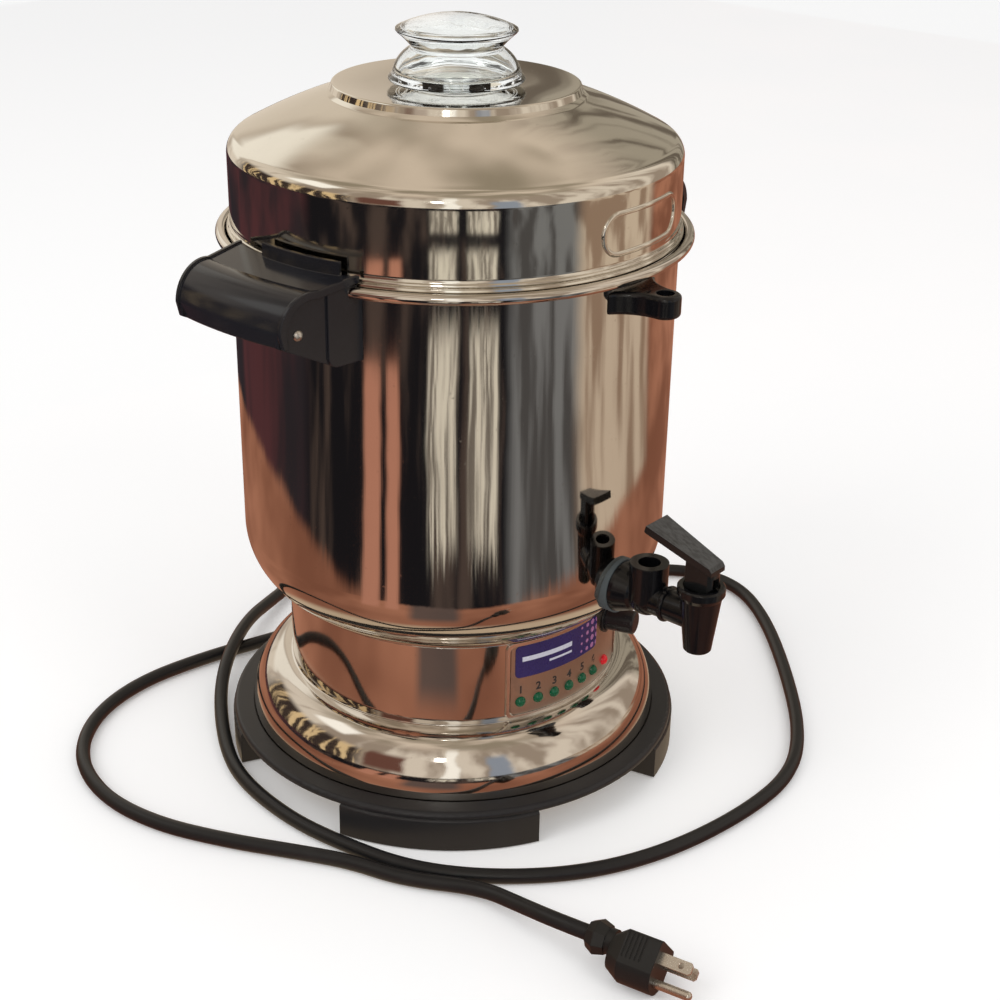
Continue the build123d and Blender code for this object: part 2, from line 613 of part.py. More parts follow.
# ---------------------------------------------------------------- percolator
bell_low = WELL_Z + SHEET + SEAT_GAP
stem_top = KNOB_Z - 6.0
tube = ring(STEM_BORE_R, STEM_R, bell_low + STEM_BELL_H - 3, stem_top)
bell_outline = closed(
    (STEM_BELL_R - 1.2, bell_low),
    (STEM_BELL_R, bell_low),
    (STEM_BELL_R - 3, bell_low + 5),
    (STEM_R + 2, bell_low + STEM_BELL_H),
    (STEM_BORE_R, bell_low + STEM_BELL_H),
    (STEM_BORE_R, bell_low + STEM_BELL_H - 2),
    (STEM_BELL_R - 4.6, bell_low + 4),
)
collar = ring(STEM_BORE_R, STEM_COLLAR_R, BASKET_Z - 3, BASKET_Z)
save("pump_stem", tube + turned(bell_outline) + collar)


def basket_form(inset, low, top):
    """The coffee basket, moved inwards by inset and filled."""
    wall = BASKET_R - inset
    bend = 8 - inset
    outline = (
        Line((0, low), (BASKET_R - 8, low))
        + CenterArc((BASKET_R - 8, BASKET_Z + 8), bend, -90, 90)
        + Polyline((wall, BASKET_Z + 8), (wall, top), (0, top), (0, low))
    )
    return turned(outline)


basket_top = BASKET_Z + BASKET_H
basket = basket_form(0, BASKET_Z, basket_top)
basket -= basket_form(BASKET_SHEET, BASKET_Z + BASKET_SHEET, basket_top + 1)
basket += ring(STEM_R + SLIDE_GAP, STEM_R + 3, BASKET_Z, basket_top - 10)
basket += ring(BASKET_R - BASKET_SHEET, BASKET_R + 3, basket_top - 1.2, basket_top)
basket -= ring(0, STEM_R + SLIDE_GAP, BASKET_Z - 1, basket_top + 1)
for out, count in ((26, 6), (44, 10), (62, 14)):
    for i in range(count):
        hole = ring(0, BASKET_HOLE_R, BASKET_Z - 1, BASKET_Z + 2)
        basket -= standing(360 * i / count, out) * hole
save("basket", basket)
spreader_z = basket_top + 0.2
spreader = ring(STEM_R + SLIDE_GAP, BASKET_R + 1, spreader_z, spreader_z + BASKET_SHEET)
spreader += ring(BASKET_R - 4 - BASKET_SHEET, BASKET_R - 4, spreader_z - SPREADER_RIM_H, spreader_z)
for out, count in ((24, 6), (46, 10), (68, 14)):
    for i in range(count):
        hole = ring(0, BASKET_HOLE_R, spreader_z - 1, spreader_z + 2)
        spreader -= standing(360 * i / count, out) * hole
save("basket_spreader", spreader)


# ---------------------------------------------------------------- lid and knob
def lid_form(inset, low):
    """The lid's dome, moved inwards by inset and filled down to a height."""
    skirt = LID_R - inset
    shoulder = LID_SHOULDER_R - inset
    centre_r = LID_R - LID_SHOULDER_R
    foot = (centre_r + shoulder * sin(CONE), SHOULDER_Z + shoulder * cos(CONE))
    head = (LID_STEP_R - inset * sin(CONE), STEP_Z - inset * cos(CONE))
    crown = (
        (foot[0] + head[0]) / 2 + LID_CROWN * sin(CONE),
        (foot[1] + head[1]) / 2 + LID_CROWN * cos(CONE),
    )
    rise = DISC_Z - inset
    outline = (
        Polyline((0, low), (skirt, low), (skirt, SHOULDER_Z))
        + CenterArc((centre_r, SHOULDER_Z), shoulder, 0, 90 - LID_CONE_ANGLE)
        + ThreePointArc(foot, crown, head)
        + Polyline(head, (LID_DISC_R + 1.0 - inset, rise - 1.2), (LID_DISC_R - inset, rise))
        + Line((LID_DISC_R - inset, rise), (KNOB_FOOT_R, rise - LID_DISH))
        + Polyline((KNOB_FOOT_R, rise - LID_DISH), (0, rise - LID_DISH), (0, low))
    )
    return turned(outline)


lid = lid_form(0, LID_Z) - lid_form(LID_SHEET, 0)
PLUG_R = VESSEL_R - SHEET - SLIDE_GAP
lid += turned(
    closed(
        (PLUG_R - LID_SHEET, LID_Z - LID_PLUG_DEPTH),
        (PLUG_R, LID_Z - LID_PLUG_DEPTH),
        (PLUG_R, LID_Z),
        (LID_R + LID_BEAD_R, LID_Z),
        (LID_R + LID_BEAD_R, LID_Z + LID_SHEET),
        (PLUG_R - LID_SHEET, LID_Z + LID_SHEET),
    )
)
for k, size in enumerate((LID_BEAD_R, LID_BEAD_R - 0.2)):
    bead_z = LID_Z + (1 + 2.1 * k) * LID_BEAD_R
    band = turned(
        Line((LID_R - 0.2, bead_z - size), (LID_R - 0.2, bead_z + size))
        + ThreePointArc(
            (LID_R - 0.2, bead_z + size), (LID_R + 1.1 * size + 0.6, bead_z), (LID_R - 0.2, bead_z - size)
        )
    )
    lid += band
badge_plane = outward(BADGE_AZIMUTH, 0, LID_Z + BADGE_Z)
badge = SlotOverall(BADGE_W, BADGE_H) - SlotOverall(
    BADGE_W - 2 * BADGE_BAND, BADGE_H - 2 * BADGE_BAND
)
badge_frame = extrude(badge_plane * badge, 2 * LID_R)
badge_frame &= ring(LID_R - LID_SHEET / 2, LID_R + BADGE_RISE, LID_Z, SHOULDER_Z)
lid += badge_frame
lid -= ring(0, KNOB_STEM_R + PUSH_FIT, KNOB_Z - 5, KNOB_Z + 5)
save("lid", lid)


def knob_form(inset, low):
    """The glass knob, moved inwards by inset and filled."""
    body = (KNOB_BODY_R - inset, KNOB_Z + KNOB_BODY_Z)
    bell = (KNOB_BELL_R - inset, KNOB_Z + KNOB_BELL_Z)
    waist = (KNOB_WAIST_R - inset, KNOB_Z + KNOB_WAIST_Z)
    neck = (KNOB_NECK_R - inset, KNOB_Z + KNOB_NECK_Z)
    rim = (KNOB_TOP_R - inset, KNOB_Z + KNOB_TOP_Z)
    top = KNOB_Z + KNOB_H - (KNOB_TOP_T if inset else 0)
    outline = (
        Polyline((0, low), (KNOB_FOOT_R - inset, low), body)
        + ThreePointArc(body, bell, waist)
        + ThreePointArc(waist, neck, rim)
        + dome(rim[0], rim[1], top - rim[1])
        + Line((0, top), (0, low))
    )
    return turned(outline)


knob = knob_form(0, KNOB_Z)
flange_z = KNOB_Z + KNOB_FLANGE_Z
knob += turned(
    Polyline(
        (KNOB_FLANGE_R - 1.4, flange_z - 1.4),
        (KNOB_FOOT_R - 2, flange_z - 3.2),
        (KNOB_FOOT_R - 2, flange_z + 3.0),
        (KNOB_BODY_R - 1, flange_z + 2.8),
        (KNOB_FLANGE_R - 1.4, flange_z + 1.4),
    )
    + ThreePointArc(
        (KNOB_FLANGE_R - 1.4, flange_z + 1.4),
        (KNOB_FLANGE_R, flange_z),
        (KNOB_FLANGE_R - 1.4, flange_z - 1.4),
    )
)
knob -= knob_form(KNOB_WALL, KNOB_Z + 2)
knob += ring(KNOB_STEM_R - 2.6, KNOB_STEM_R, KNOB_Z - 6, KNOB_Z + 2.5)
knob -= ring(0, KNOB_STEM_R - 2.6, KNOB_Z - 7, KNOB_Z + 4)
save("lid_knob", knob)
nut_top = KNOB_Z - LID_SHEET
knob_nut = ring(KNOB_STEM_R + PUSH_FIT, KNOB_NUT_R, nut_top - KNOB_NUT_H + 3, nut_top)
save("knob_retainer", knob_nut)

# ---------------------------------------------------------------- handles
SWEEP_X = HANDLE_OUT - HANDLE_SWEEP_R       # axis of the hood's curve, along the handle


def half_width(out, inset=0.0):
    """Half the handle's width at a distance from the urn's axis: it narrows outwards."""
    share = (out - VESSEL_R) / (HANDLE_OUT - VESSEL_R)
    return (HANDLE_ROOT_W + (HANDLE_LIP_W - HANDLE_ROOT_W) * share) / 2 - inset


END_TILT = degrees(atan2((HANDLE_ROOT_W - HANDLE_LIP_W) / 2, HANDLE_REACH))
HANDLE_BACK = VESSEL_R - 14.0               # inside the wall, where the solids are trimmed


def between_ends(inset):
    """A tall block with the handle's tapering plan, its ends moved inwards by inset."""
    front = HANDLE_OUT + 2
    plan = closed(
        (-half_width(HANDLE_BACK, inset), -HANDLE_BACK),
        (half_width(HANDLE_BACK, inset), -HANDLE_BACK),
        (half_width(front, inset), -front),
        (-half_width(front, inset), -front),
    )
    return Pos(0, 0, HANDLE_BLOCK_Z - 1) * extrude(make_face(plan.edges()), 2 * HANDLE_BLOCK_DROP)


def hood_form(inset):
    """The hood's outer shape, moved inwards by inset and filled."""
    lip = HANDLE_SWEEP_R - inset
    top = HANDLE_TOP_Z - inset
    flat = HANDLE_FLAT_OUT - SWEEP_X
    risen = HANDLE_RISE_OUT - SWEEP_X
    back = HANDLE_BACK + 2 - SWEEP_X
    side_z = HANDLE_LIP_Z + 8
    low = HANDLE_LIP_Z - (8 if inset > 0 else 0)
    bulge = (lip - 0.26 * (lip - flat), top - 0.26 * (top - side_z))
    outline = (
        Polyline((back, low), (lip - 2.0, low), (lip, side_z))
        + ThreePointArc((lip, side_z), bulge, (flat, top))
        + Polyline(
            (flat, top), (risen, top + HANDLE_TOP_RISE), (back, top + HANDLE_TOP_RISE), (back, low)
        )
    )
    return outline


def handle_parts():
    """One handle's moulding and its steel bracket, made at the tap's azimuth."""
    place = Pos(0, -SWEEP_X, 0)
    angle = 2 * degrees(asin(HANDLE_ROOT_W / 2 / HANDLE_SWEEP_R)) + 10
    hood = place * turned(hood_form(0), angle, -angle / 2)
    roll = place * turned(hood_form(-HANDLE_ROLL), angle, -angle / 2)
    inside = place * turned(hood_form(HANDLE_WALL), angle + 4, -angle / 2 - 2)
    hood = (hood + (roll - between_ends(HANDLE_ROLL_W))) & between_ends(0)
    hood -= inside
    wall_out = HANDLE_OUT - HANDLE_WALL / 2
    under = 1.5                              # ends of the walls below the hood's top
    side_outline = closed(
        (-HANDLE_BACK, HANDLE_BLOCK_Z),
        (-HANDLE_BLOCK_OUT, HANDLE_BLOCK_Z),
        (-wall_out + 1.5, HANDLE_LIP_Z + 0.6),
        (-wall_out + 1.5, HANDLE_LIP_Z + 9),
        (-HANDLE_FLAT_OUT - 11, HANDLE_TOP_Z - 5.2),
        (-HANDLE_FLAT_OUT, HANDLE_TOP_Z - under),
        (-HANDLE_RISE_OUT, HANDLE_TOP_Z + HANDLE_TOP_RISE - under),
        (-HANDLE_BACK, HANDLE_TOP_Z + HANDLE_TOP_RISE - under),
    )
    side = extrude(Plane.YZ * make_face(side_outline.edges()), HANDLE_ROOT_W, both=True)
    end_walls = between_ends(HANDLE_INSET) - between_ends(HANDLE_INSET + HANDLE_END_WALL)
    climb = HANDLE_TOP_RISE * (HANDLE_FLAT_OUT - HANDLE_BLOCK_OUT) / (HANDLE_FLAT_OUT - HANDLE_RISE_OUT)
    block_outline = closed(
        (-HANDLE_BACK, HANDLE_BLOCK_Z),
        (-HANDLE_BLOCK_OUT, HANDLE_BLOCK_Z),
        (-HANDLE_BLOCK_OUT, HANDLE_TOP_Z + climb - under),
        (-HANDLE_RISE_OUT, HANDLE_TOP_Z + HANDLE_TOP_RISE - under),
        (-HANDLE_BACK, HANDLE_TOP_Z + HANDLE_TOP_RISE - under),
    )
    block = extrude(Plane.YZ * make_face(block_outline.edges()), HANDLE_ROOT_W, both=True)
    shoulder_out = VESSEL_R + HANDLE_SHOULDER_T
    shoulder_outline = (
        Polyline((-HANDLE_BACK, HANDLE_BLOCK_Z), (-shoulder_out + HANDLE_SHOULDER_R, HANDLE_BLOCK_Z))
        + ThreePointArc(
            (-shoulder_out + HANDLE_SHOULDER_R, HANDLE_BLOCK_Z),
            (-shoulder_out + 0.3 * HANDLE_SHOULDER_R, HANDLE_BLOCK_Z + 0.3 * HANDLE_SHOULDER_R),
            (-shoulder_out, HANDLE_BLOCK_Z + HANDLE_SHOULDER_R),
        )
        + Polyline(
            (-shoulder_out, HANDLE_BLOCK_Z + HANDLE_SHOULDER_R),
            (-shoulder_out, HANDLE_TOP_Z - under),
            (-HANDLE_BACK, HANDLE_TOP_Z - under),
            (-HANDLE_BACK, HANDLE_BLOCK_Z),
        )
    )
    shoulder_in = HANDLE_INSET - HANDLE_SHOULDER_OUT
    shoulder = extrude(Plane.YZ * make_face(shoulder_outline.edges()), HANDLE_ROOT_W, both=True)
    shoulder &= between_ends(shoulder_in) - between_ends(shoulder_in + HANDLE_SHOULDER_W)
    moulding = hood + (side & end_walls) + (block & between_ends(HANDLE_INSET)) + shoulder
    guard_in = LID_BEAD_OUT + LID_ROOM
    guard_top = HANDLE_TOP_Z + HANDLE_TOP_RISE + GUARD_H
    guard_arc = degrees(GUARD_LEN / guard_in)
    guard = turned(
        closed(
            (guard_in, HANDLE_TOP_Z - 1),
            (guard_in + GUARD_T, HANDLE_TOP_Z - 1),
            (guard_in + GUARD_T - 0.5, guard_top),
            (guard_in, guard_top),
        ),
        guard_arc,
        GUARD_TURN - guard_arc / 2,
    )
    moulding += guard
    moulding -= vessel_outside + ring(0, BEAD_R, RIM_Z - 3, RIM_Z) + rim_form()
    moulding -= ring(0, guard_in, RIM_Z - 1, guard_top + 1)

    ear_inset = HANDLE_INSET + HANDLE_END_WALL
    ear_gap = half_width(VESSEL_R, ear_inset)
    foot_low, foot_high = HANDLE_BLOCK_Z + 8, HANDLE_LIP_Z + 12
    foot_mid = (foot_low + foot_high) / 2
    strap = ring(VESSEL_R, VESSEL_R + PLATE, foot_low, foot_high)
    strap &= Pos(0, -VESSEL_R, foot_mid) * Box(2 * ear_gap, 40, foot_high - foot_low)
    ear_in = sqrt(VESSEL_R**2 - ear_gap**2) - 1
    ear_len = HANDLE_SCREW_OUT + 2 * HANDLE_SCREW_R - ear_in
    ears = Pos(0, -ear_in - ear_len / 2, foot_mid + 3) * Box(
        HANDLE_ROOT_W, ear_len, foot_high - foot_low - 10
    )
    strap += ears & (between_ends(ear_inset) - between_ends(ear_inset + PLATE))
    strap -= vessel_outside
    moulding -= strap
    for side_of in (-1, 1):
        screw_bore = screw_place(side_of) * Cylinder(HANDLE_SCREW_R / 2, 4 * HANDLE_END_WALL)
        moulding -= screw_bore
        strap -= screw_bore
    return moulding, strap


def screw_place(side_of):
    """Where a screw enters an end wall: z points straight out of that wall."""
    across = side_of * half_width(HANDLE_SCREW_OUT, HANDLE_INSET)
    place = Pos(across, -HANDLE_SCREW_OUT, HANDLE_SCREW_Z) * Rot(0, 0, -side_of * END_TILT)
    return place * Rot(0, 90 * side_of, 0)


def handle_screw(side_of):
    """A pan-head screw through one end wall and the ear behind it, head outwards."""
    shank = HANDLE_END_WALL + PLATE + 1.0
    screw_body = Pos(0, 0, -shank / 2) * Cylinder(HANDLE_SCREW_R / 2, shank)
    pan = turned(
        Line((0, 0), (HANDLE_SCREW_R, 0))
        + dome(HANDLE_SCREW_R, 0, 2.0)
        + Line((0, 2.0), (0, 0))
    )
    return screw_place(side_of) * (screw_body + pan)


moulding, bracket = handle_parts()
screws = [handle_screw(-1), handle_screw(1)]
for side_name, turn in (("right", 90), ("left", -90)):
    save(f"{side_name}_handle", Rot(0, 0, turn) * moulding)
    save(f"{side_name}_handle_bracket", Rot(0, 0, turn) * bracket)
save("handle_screws", *[Rot(0, 0, turn) * s for turn in (90, -90) for s in screws])

# ---------------------------------------------------------------- gauge glass guide
root_half = GUIDE_ROOT_W / 2
root_out = sqrt(VESSEL_R**2 - root_half**2)
root_at = -root_out - 0.6
guide_back = -root_out + 9.0
guide_plan = (
    TangentArc((-GUIDE_RING_R, -GAUGE_OUT), (-root_half, root_at), tangent=(0, 1))
    + Polyline(
        (-root_half, root_at), (-root_half, guide_back), (root_half, guide_back), (root_half, root_at)
    )
    + TangentArc((GUIDE_RING_R, -GAUGE_OUT), (root_half, root_at), tangent=(0, 1))
    + CenterArc((0, -GAUGE_OUT), GUIDE_RING_R, 0, -180)
)
guide = Pos(0, 0, GUIDE_Z - GUIDE_H / 2) * extrude(make_face(guide_plan.edges()), GUIDE_H)
guide_rims = guide.edges().group_by(Axis.Z)
soft = [edge for edge in guide_rims[0] + guide_rims[-1] if edge.center().Y < root_at]
guide = fillet(soft, GUIDE_EDGE_R)
guide -= vessel_outside
guide -= Pos(0, -GAUGE_OUT, GUIDE_Z) * Cylinder(GUIDE_BORE_R, 2 * GUIDE_H)
save("gauge_guide", guide)

# ---------------------------------------------------------------- tap
# Turned pieces on the shank's axis are drawn with their height as the distance from the
# urn's axis, and laid down to point out of the vessel.
shank_way = outward(0, 0, TAP_Z).location
washer_out = VESSEL_R + TAP_WASHER_T
washer = shank_way * ring(SHANK_R + PUSH_FIT, TAP_WASHER_R, VESSEL_R - 9, washer_out)
save("tap_washer", washer - vessel_outside)
spout_at = Pos(0, -SPOUT_OUT, TAP_Z)
gauge_at = Pos(0, -GAUGE_OUT, TAP_Z)
SHANK_IN = VESSEL_R - 19.0
elbow = shank_way * turned(
    closed(
        (0, SHANK_IN),
        (SHANK_R, SHANK_IN),
        (SHANK_R, washer_out),
        (TAP_COLLAR_R, washer_out),
        (TAP_COLLAR_R - 0.6, washer_out + 2.2),
        (TAP_NECK_R + 1.8, TAP_NECK_OUT - 1.5),
        (TAP_NECK_R, TAP_NECK_OUT),
        (PIPE_R, COUPLING_OUT - 3),
        (PIPE_R, COUPLING_OUT),
        (0, COUPLING_OUT),
    )
)
elbow += gauge_at * (ring(0, GAUGE_BOSS_R, 0, GAUGE_BOSS_TOP) + Sphere(GAUGE_BOSS_R))
elbow -= gauge_at * ring(0, GAUGE_BORE_R, GAUGE_BOSS_TOP - GAUGE_BORE_H, GAUGE_BOSS_TOP + 1)
elbow -= gauge_at * ring(0, 3.0, 0, GAUGE_BOSS_TOP)
elbow -= shank_way * ring(0, SHANK_BORE_R, SHANK_IN - 1, COUPLING_OUT + 1)
save("tap_elbow", elbow)
NUT_REACH = 14.0                           # the nut's corners from its axis
bend_drop = BEND_CENTRE_Z - TAP_Z + NUT_REACH
nut_face = BEND_CENTRE_R + sqrt((VESSEL_BEND_R - SHEET) ** 2 - bend_drop**2) - 0.8
gasket = shank_way * ring(SHANK_R + PUSH_FIT, NUT_REACH - 1, nut_face, VESSEL_R)
save("tap_gasket", gasket & vessel_form(SHEET, RIM_Z))
tap_nut = shank_way * hexagon(24, nut_face - 6.5, nut_face, SHANK_R)
save("tap_nut", tap_nut)
ridge_side = COUPLING_R - 1.2
coupling_end = COUPLING_OUT + COUPLING_W
coupling = shank_way * turned(
    Polyline(
        (ridge_side, COUPLING_OUT),
        (SHANK_BORE_R, COUPLING_OUT),
        (SHANK_BORE_R, coupling_end),
        (ridge_side, coupling_end),
    )
    + ThreePointArc(
        (ridge_side, coupling_end),
        (COUPLING_R, COUPLING_OUT + COUPLING_W / 2),
        (ridge_side, COUPLING_OUT),
    )
)
for i in range(12):
    flute = shank_way * Rot(0, 0, 30 * i) * Pos(COUPLING_R + 0.5, 0, COUPLING_OUT + COUPLING_W / 2)
    coupling -= flute * Cylinder(1.1, 2 * COUPLING_W)
save("tap_coupling", coupling)

CUP_LOW = SPOUT_TOP - SPOUT_CUP_H
bonnet_top = SPOUT_TOP - BONNET_DROP
bonnet_low = bonnet_top - BONNET_T
body_outline = closed(
    (0, -SPOUT_DROP),
    (SPOUT_TIP_R - 0.8, -SPOUT_DROP),
    (SPOUT_TIP_R, -SPOUT_DROP + 0.8),
    (SPOUT_R, CUP_LOW - 1.5),
    (SPOUT_CUP_R, CUP_LOW + 1.2),
    (SPOUT_CUP_R, SPOUT_TOP - 0.9),
    (SPOUT_CUP_R - 0.9, SPOUT_TOP),
    (0, SPOUT_TOP),
)
spout = spout_at * turned(body_outline)
spout += shank_way * ring(0, PIPE_R, COUPLING_OUT + COUPLING_W, SPOUT_OUT)
seat_z = -9.0                              # valve seat below the shank's axis
BONNET_R = LEVER_HEAD_R + 0.8
bore_outline = closed(
    (0, -SPOUT_DROP - 1),
    (SPOUT_TIP_BORE_R, -SPOUT_DROP - 1),
    (SPOUT_TIP_BORE_R, seat_z - 1.5),
    (SPOUT_TIP_BORE_R - 0.6, seat_z),
    (SPOUT_BORE_R, seat_z),
    (SPOUT_BORE_R, bonnet_low),
    (BONNET_R, bonnet_low),
    (BONNET_R, SPOUT_TOP + 1),
    (0, SPOUT_TOP + 1),
)
spout -= spout_at * turned(bore_outline)
spout -= shank_way * ring(0, SHANK_BORE_R, COUPLING_OUT + COUPLING_W - 1, SPOUT_OUT)
save("spout_body", spout)
bonnet = ring(VALVE_STEM_R + PIN_FIT, BONNET_R, bonnet_low, bonnet_top)
save("tap_bonnet", spout_at * bonnet)

# The stem carries the lever's pin and lifts a soft cup off the seat.
pin_z = bonnet_top + LEVER_PIN_H
cup_low = seat_z + SEAT_GAP
cup_h = 5.0
stem_head_top = pin_z + 3.4
stem = ring(0, VALVE_STEM_R, cup_low + 2, stem_head_top)
stem += ring(0, 5.2, cup_low + cup_h, cup_low + cup_h + 1.2)
pin_bore = Pos(0, 0, pin_z) * Rot(0, 90, 0) * Cylinder(LEVER_PIN_R, 20)
save("tap_stem", spout_at * (stem - pin_bore))
cup_outline = closed(
    (VALVE_STEM_R, cup_low + 2),
    (0, cup_low + 2),
    (0, cup_low),
    (SPOUT_TIP_BORE_R + 1.2, cup_low),
    (SPOUT_BORE_R - 1.4, cup_low + 1.6),
    (5.0, cup_low + cup_h),
    (VALVE_STEM_R, cup_low + cup_h),
)
save("seat_cup", spout_at * turned(cup_outline))
spring_low = cup_low + cup_h + 1.2
spring_h = bonnet_low - spring_low
SPRING_R = 5.0
SPRING_WIRE_R = 0.55
coil = Helix(
    pitch=(spring_h - 2.4 * SPRING_WIRE_R) / 4, height=spring_h - 2.4 * SPRING_WIRE_R, radius=SPRING_R
)
coil_start = Plane(origin=coil @ 0, z_dir=coil % 0)
valve_spring = sweep(coil_start * Circle(SPRING_WIRE_R), path=coil)
save("valve_spring", spout_at * Pos(0, 0, spring_low + 1.2 * SPRING_WIRE_R) * valve_spring)
pin_half = LEVER_HEAD_W / 2 - 0.8
pin = Pos(0, 0, pin_z) * Rot(0, 90, 0) * Cylinder(LEVER_PIN_R, 2 * pin_half)
save("lever_pin", spout_at * pin)


def cam_point(angle):
    """The point of the lever's cam that bears when the lever is tipped by an angle.

    The cam's reach below the pin grows evenly with the angle, so the stem rises evenly too.
    """
    reach = LEVER_PIN_H - SEAT_GAP + VALVE_LIFT * angle / LEVER_TURN
    growth = VALVE_LIFT / radians(LEVER_TURN)
    sine, cosine = sin(radians(angle)), cos(radians(angle))
    return (-reach * sine - growth * cosine, pin_z - reach * cosine + growth * sine)


cam = [cam_point(LEVER_TURN * i / 6) for i in range(7)]
head_top = pin_z + LEVER_HEAD_H
tip = (LEVER_REACH, pin_z + LEVER_RISE)
nose = -LEVER_HEAD_R - LEVER_NOSE
slope = atan2(tip[1] - head_top, tip[0] - nose)
lean = (sin(slope) * LEVER_T, -cos(slope) * LEVER_T)
soft_edge = (nose + LEVER_EDGE, head_top + LEVER_EDGE * tan(slope))
under_top = head_top - LEVER_T / 2
head_profile = (
    Line((LEVER_HEAD_R, cam[0][1]), cam[0])
    + Spline(*cam)
    + Polyline(
        cam[-1],
        (-LEVER_HEAD_R, pin_z),
        (-LEVER_HEAD_R, under_top),
        (LEVER_HEAD_R, under_top + 2 * LEVER_HEAD_R * tan(slope)),
        (LEVER_HEAD_R, cam[0][1]),
    )
)
# Profiles of the lever lie in the YZ plane, with +Y towards the vessel.
head = extrude(Plane.YZ * make_face(head_profile.edges()), LEVER_HEAD_W / 2, both=True)
head &= Pos(0, 0, pin_z) * Cylinder(LEVER_HEAD_R, 80)
paddle_profile = closed(
    (nose, head_top - LEVER_EDGE),
    soft_edge,
    tip,
    (tip[0] + lean[0] * 0.9, tip[1] + lean[1] * 0.9),
    (nose, head_top + lean[1]),
)
paddle = extrude(Plane.YZ * make_face(paddle_profile.edges()), LEVER_TIP_W, both=True)
plan = closed(
    (-LEVER_ROOT_W / 2, nose - 1),
    (LEVER_ROOT_W / 2, nose - 1),
    (LEVER_TIP_W / 2, LEVER_REACH),
    (LEVER_TIP_W / 2 - 1.2, LEVER_REACH + 3),
    (-LEVER_TIP_W / 2 + 1.2, LEVER_REACH + 3),
    (-LEVER_TIP_W / 2, LEVER_REACH),
)
paddle &= extrude(make_face(plan.edges()), 90)
lever = head + paddle
slot_half = VALVE_STEM_R + PIN_FIT + 0.25
slot_top = stem_head_top + 1.0
slot = Pos(0, 0, (slot_top + pin_z - 20) / 2) * Box(2 * slot_half, 40, slot_top - pin_z + 20)
slot -= Pos(0, LEVER_HEAD_R + 10, 0) * Box(40, 20, 400)
lever -= slot
lever -= Pos(0, 0, pin_z) * Rot(0, 90, 0) * Cylinder(LEVER_PIN_R + PIN_FIT, 2 * pin_half + 0.4)
save("tap_lever", spout_at * lever)

# ---------------------------------------------------------------- indicator panel
panel_r = NECK_R + FILM_GAP
frame_r = NECK_R + PANEL_FRAME_T
outer = patch(PANEL_AZIMUTH_LOW, PANEL_AZIMUTH_HIGH, PANEL_Z_LOW, PANEL_Z_HIGH, panel_r, frame_r, 4)
inner = patch(
    PANEL_AZIMUTH_LOW, PANEL_AZIMUTH_HIGH, PANEL_Z_LOW, PANEL_Z_HIGH,
    NECK_R - 1, frame_r + 1, 3, PANEL_FRAME_W,
)
button_clear = extrude(outward(BUTTON_AZIMUTH, 0, BUTTON_Z) * Circle(BEZEL_R), 2 * NECK_R)
save("panel_frame", outer - inner)
plate = patch(
    PANEL_AZIMUTH_LOW,
    PANEL_AZIMUTH_HIGH,
    PANEL_Z_LOW,
    PANEL_Z_HIGH,
    panel_r,
    panel_r + PANEL_T,
    3,
    PANEL_FRAME_W + 0.15,
)
for azimuth in (*LED_AZIMUTHS, RED_LED_AZIMUTH):
    plate -= extrude(outward(azimuth, 0, LED_Z) * Circle(LED_R + PUSH_FIT), 2 * NECK_R)
save("panel_plate", plate - button_clear)
label_r = panel_r + PANEL_T + FILM_GAP
label = patch(LABEL_AZIMUTH_LOW, LABEL_AZIMUTH_HIGH, LABEL_Z_LOW, LABEL_Z_HIGH, label_r, label_r + LABEL_T, 3)
save("panel_label", label - button_clear)


CARRIER_AZIMUTH = (LED_AZIMUTHS[0] + RED_LED_AZIMUTH) / 2
BOARD_OUT = 85.0
BOARD_T = 1.6
BOARD_W = 78.0
BOARD_H = 26.0
LED_CARRIER_W = 84.0
LED_CARRIER_H = 14.0
LED_BACK = BOARD_OUT - 2
behind_board = extrude(outward(CARRIER_AZIMUTH, 0, LED_Z) * Rectangle(2 * NECK_R, 3 * BOARD_H), BOARD_OUT)


def lens(azimuth):
    """A round-nosed lamp lens that stands out of the panel."""
    nose = NECK_R + PANEL_T + 0.4
    outline = (
        Polyline((0, LED_BACK), (LED_R, LED_BACK), (LED_R, nose))
        + dome(LED_R, nose, 2.3)
        + Line((0, nose + 2.3), (0, LED_BACK))
    )
    body = outward(azimuth, 0, LED_Z).location * turned(outline)
    return body - behind_board


save("green_lenses", *[lens(azimuth) for azimuth in LED_AZIMUTHS])
save("red_lens", lens(RED_LED_AZIMUTH))
carrier_plane = outward(CARRIER_AZIMUTH, 0, LED_Z)
led_carrier = extrude(carrier_plane * Rectangle(LED_CARRIER_W, LED_CARRIER_H), NECK_R)
led_carrier &= ring(0, NECK_R - SHEET, LED_Z - 10, LED_Z + 10)
led_carrier -= behind_board
for azimuth in (*LED_AZIMUTHS, RED_LED_AZIMUTH):
    led_carrier -= extrude(outward(azimuth, 0, LED_Z) * Circle(LED_R), 2 * NECK_R)
save("led_carrier", led_carrier)
board_plane = outward(CARRIER_AZIMUTH, BOARD_OUT - BOARD_T, LED_Z).location
board = board_plane * Pos(0, 0, BOARD_T / 2) * Box(BOARD_W, BOARD_H, BOARD_T)
board += board_plane * Pos(-22, 0, -6.5) * Box(18, 15, 13)
board += board_plane * Pos(4, 2, -6) * Cylinder(5, 12)
board += board_plane * Pos(24, 0, -1.6) * Box(12, 8, 3.2)
save("control_board", board)

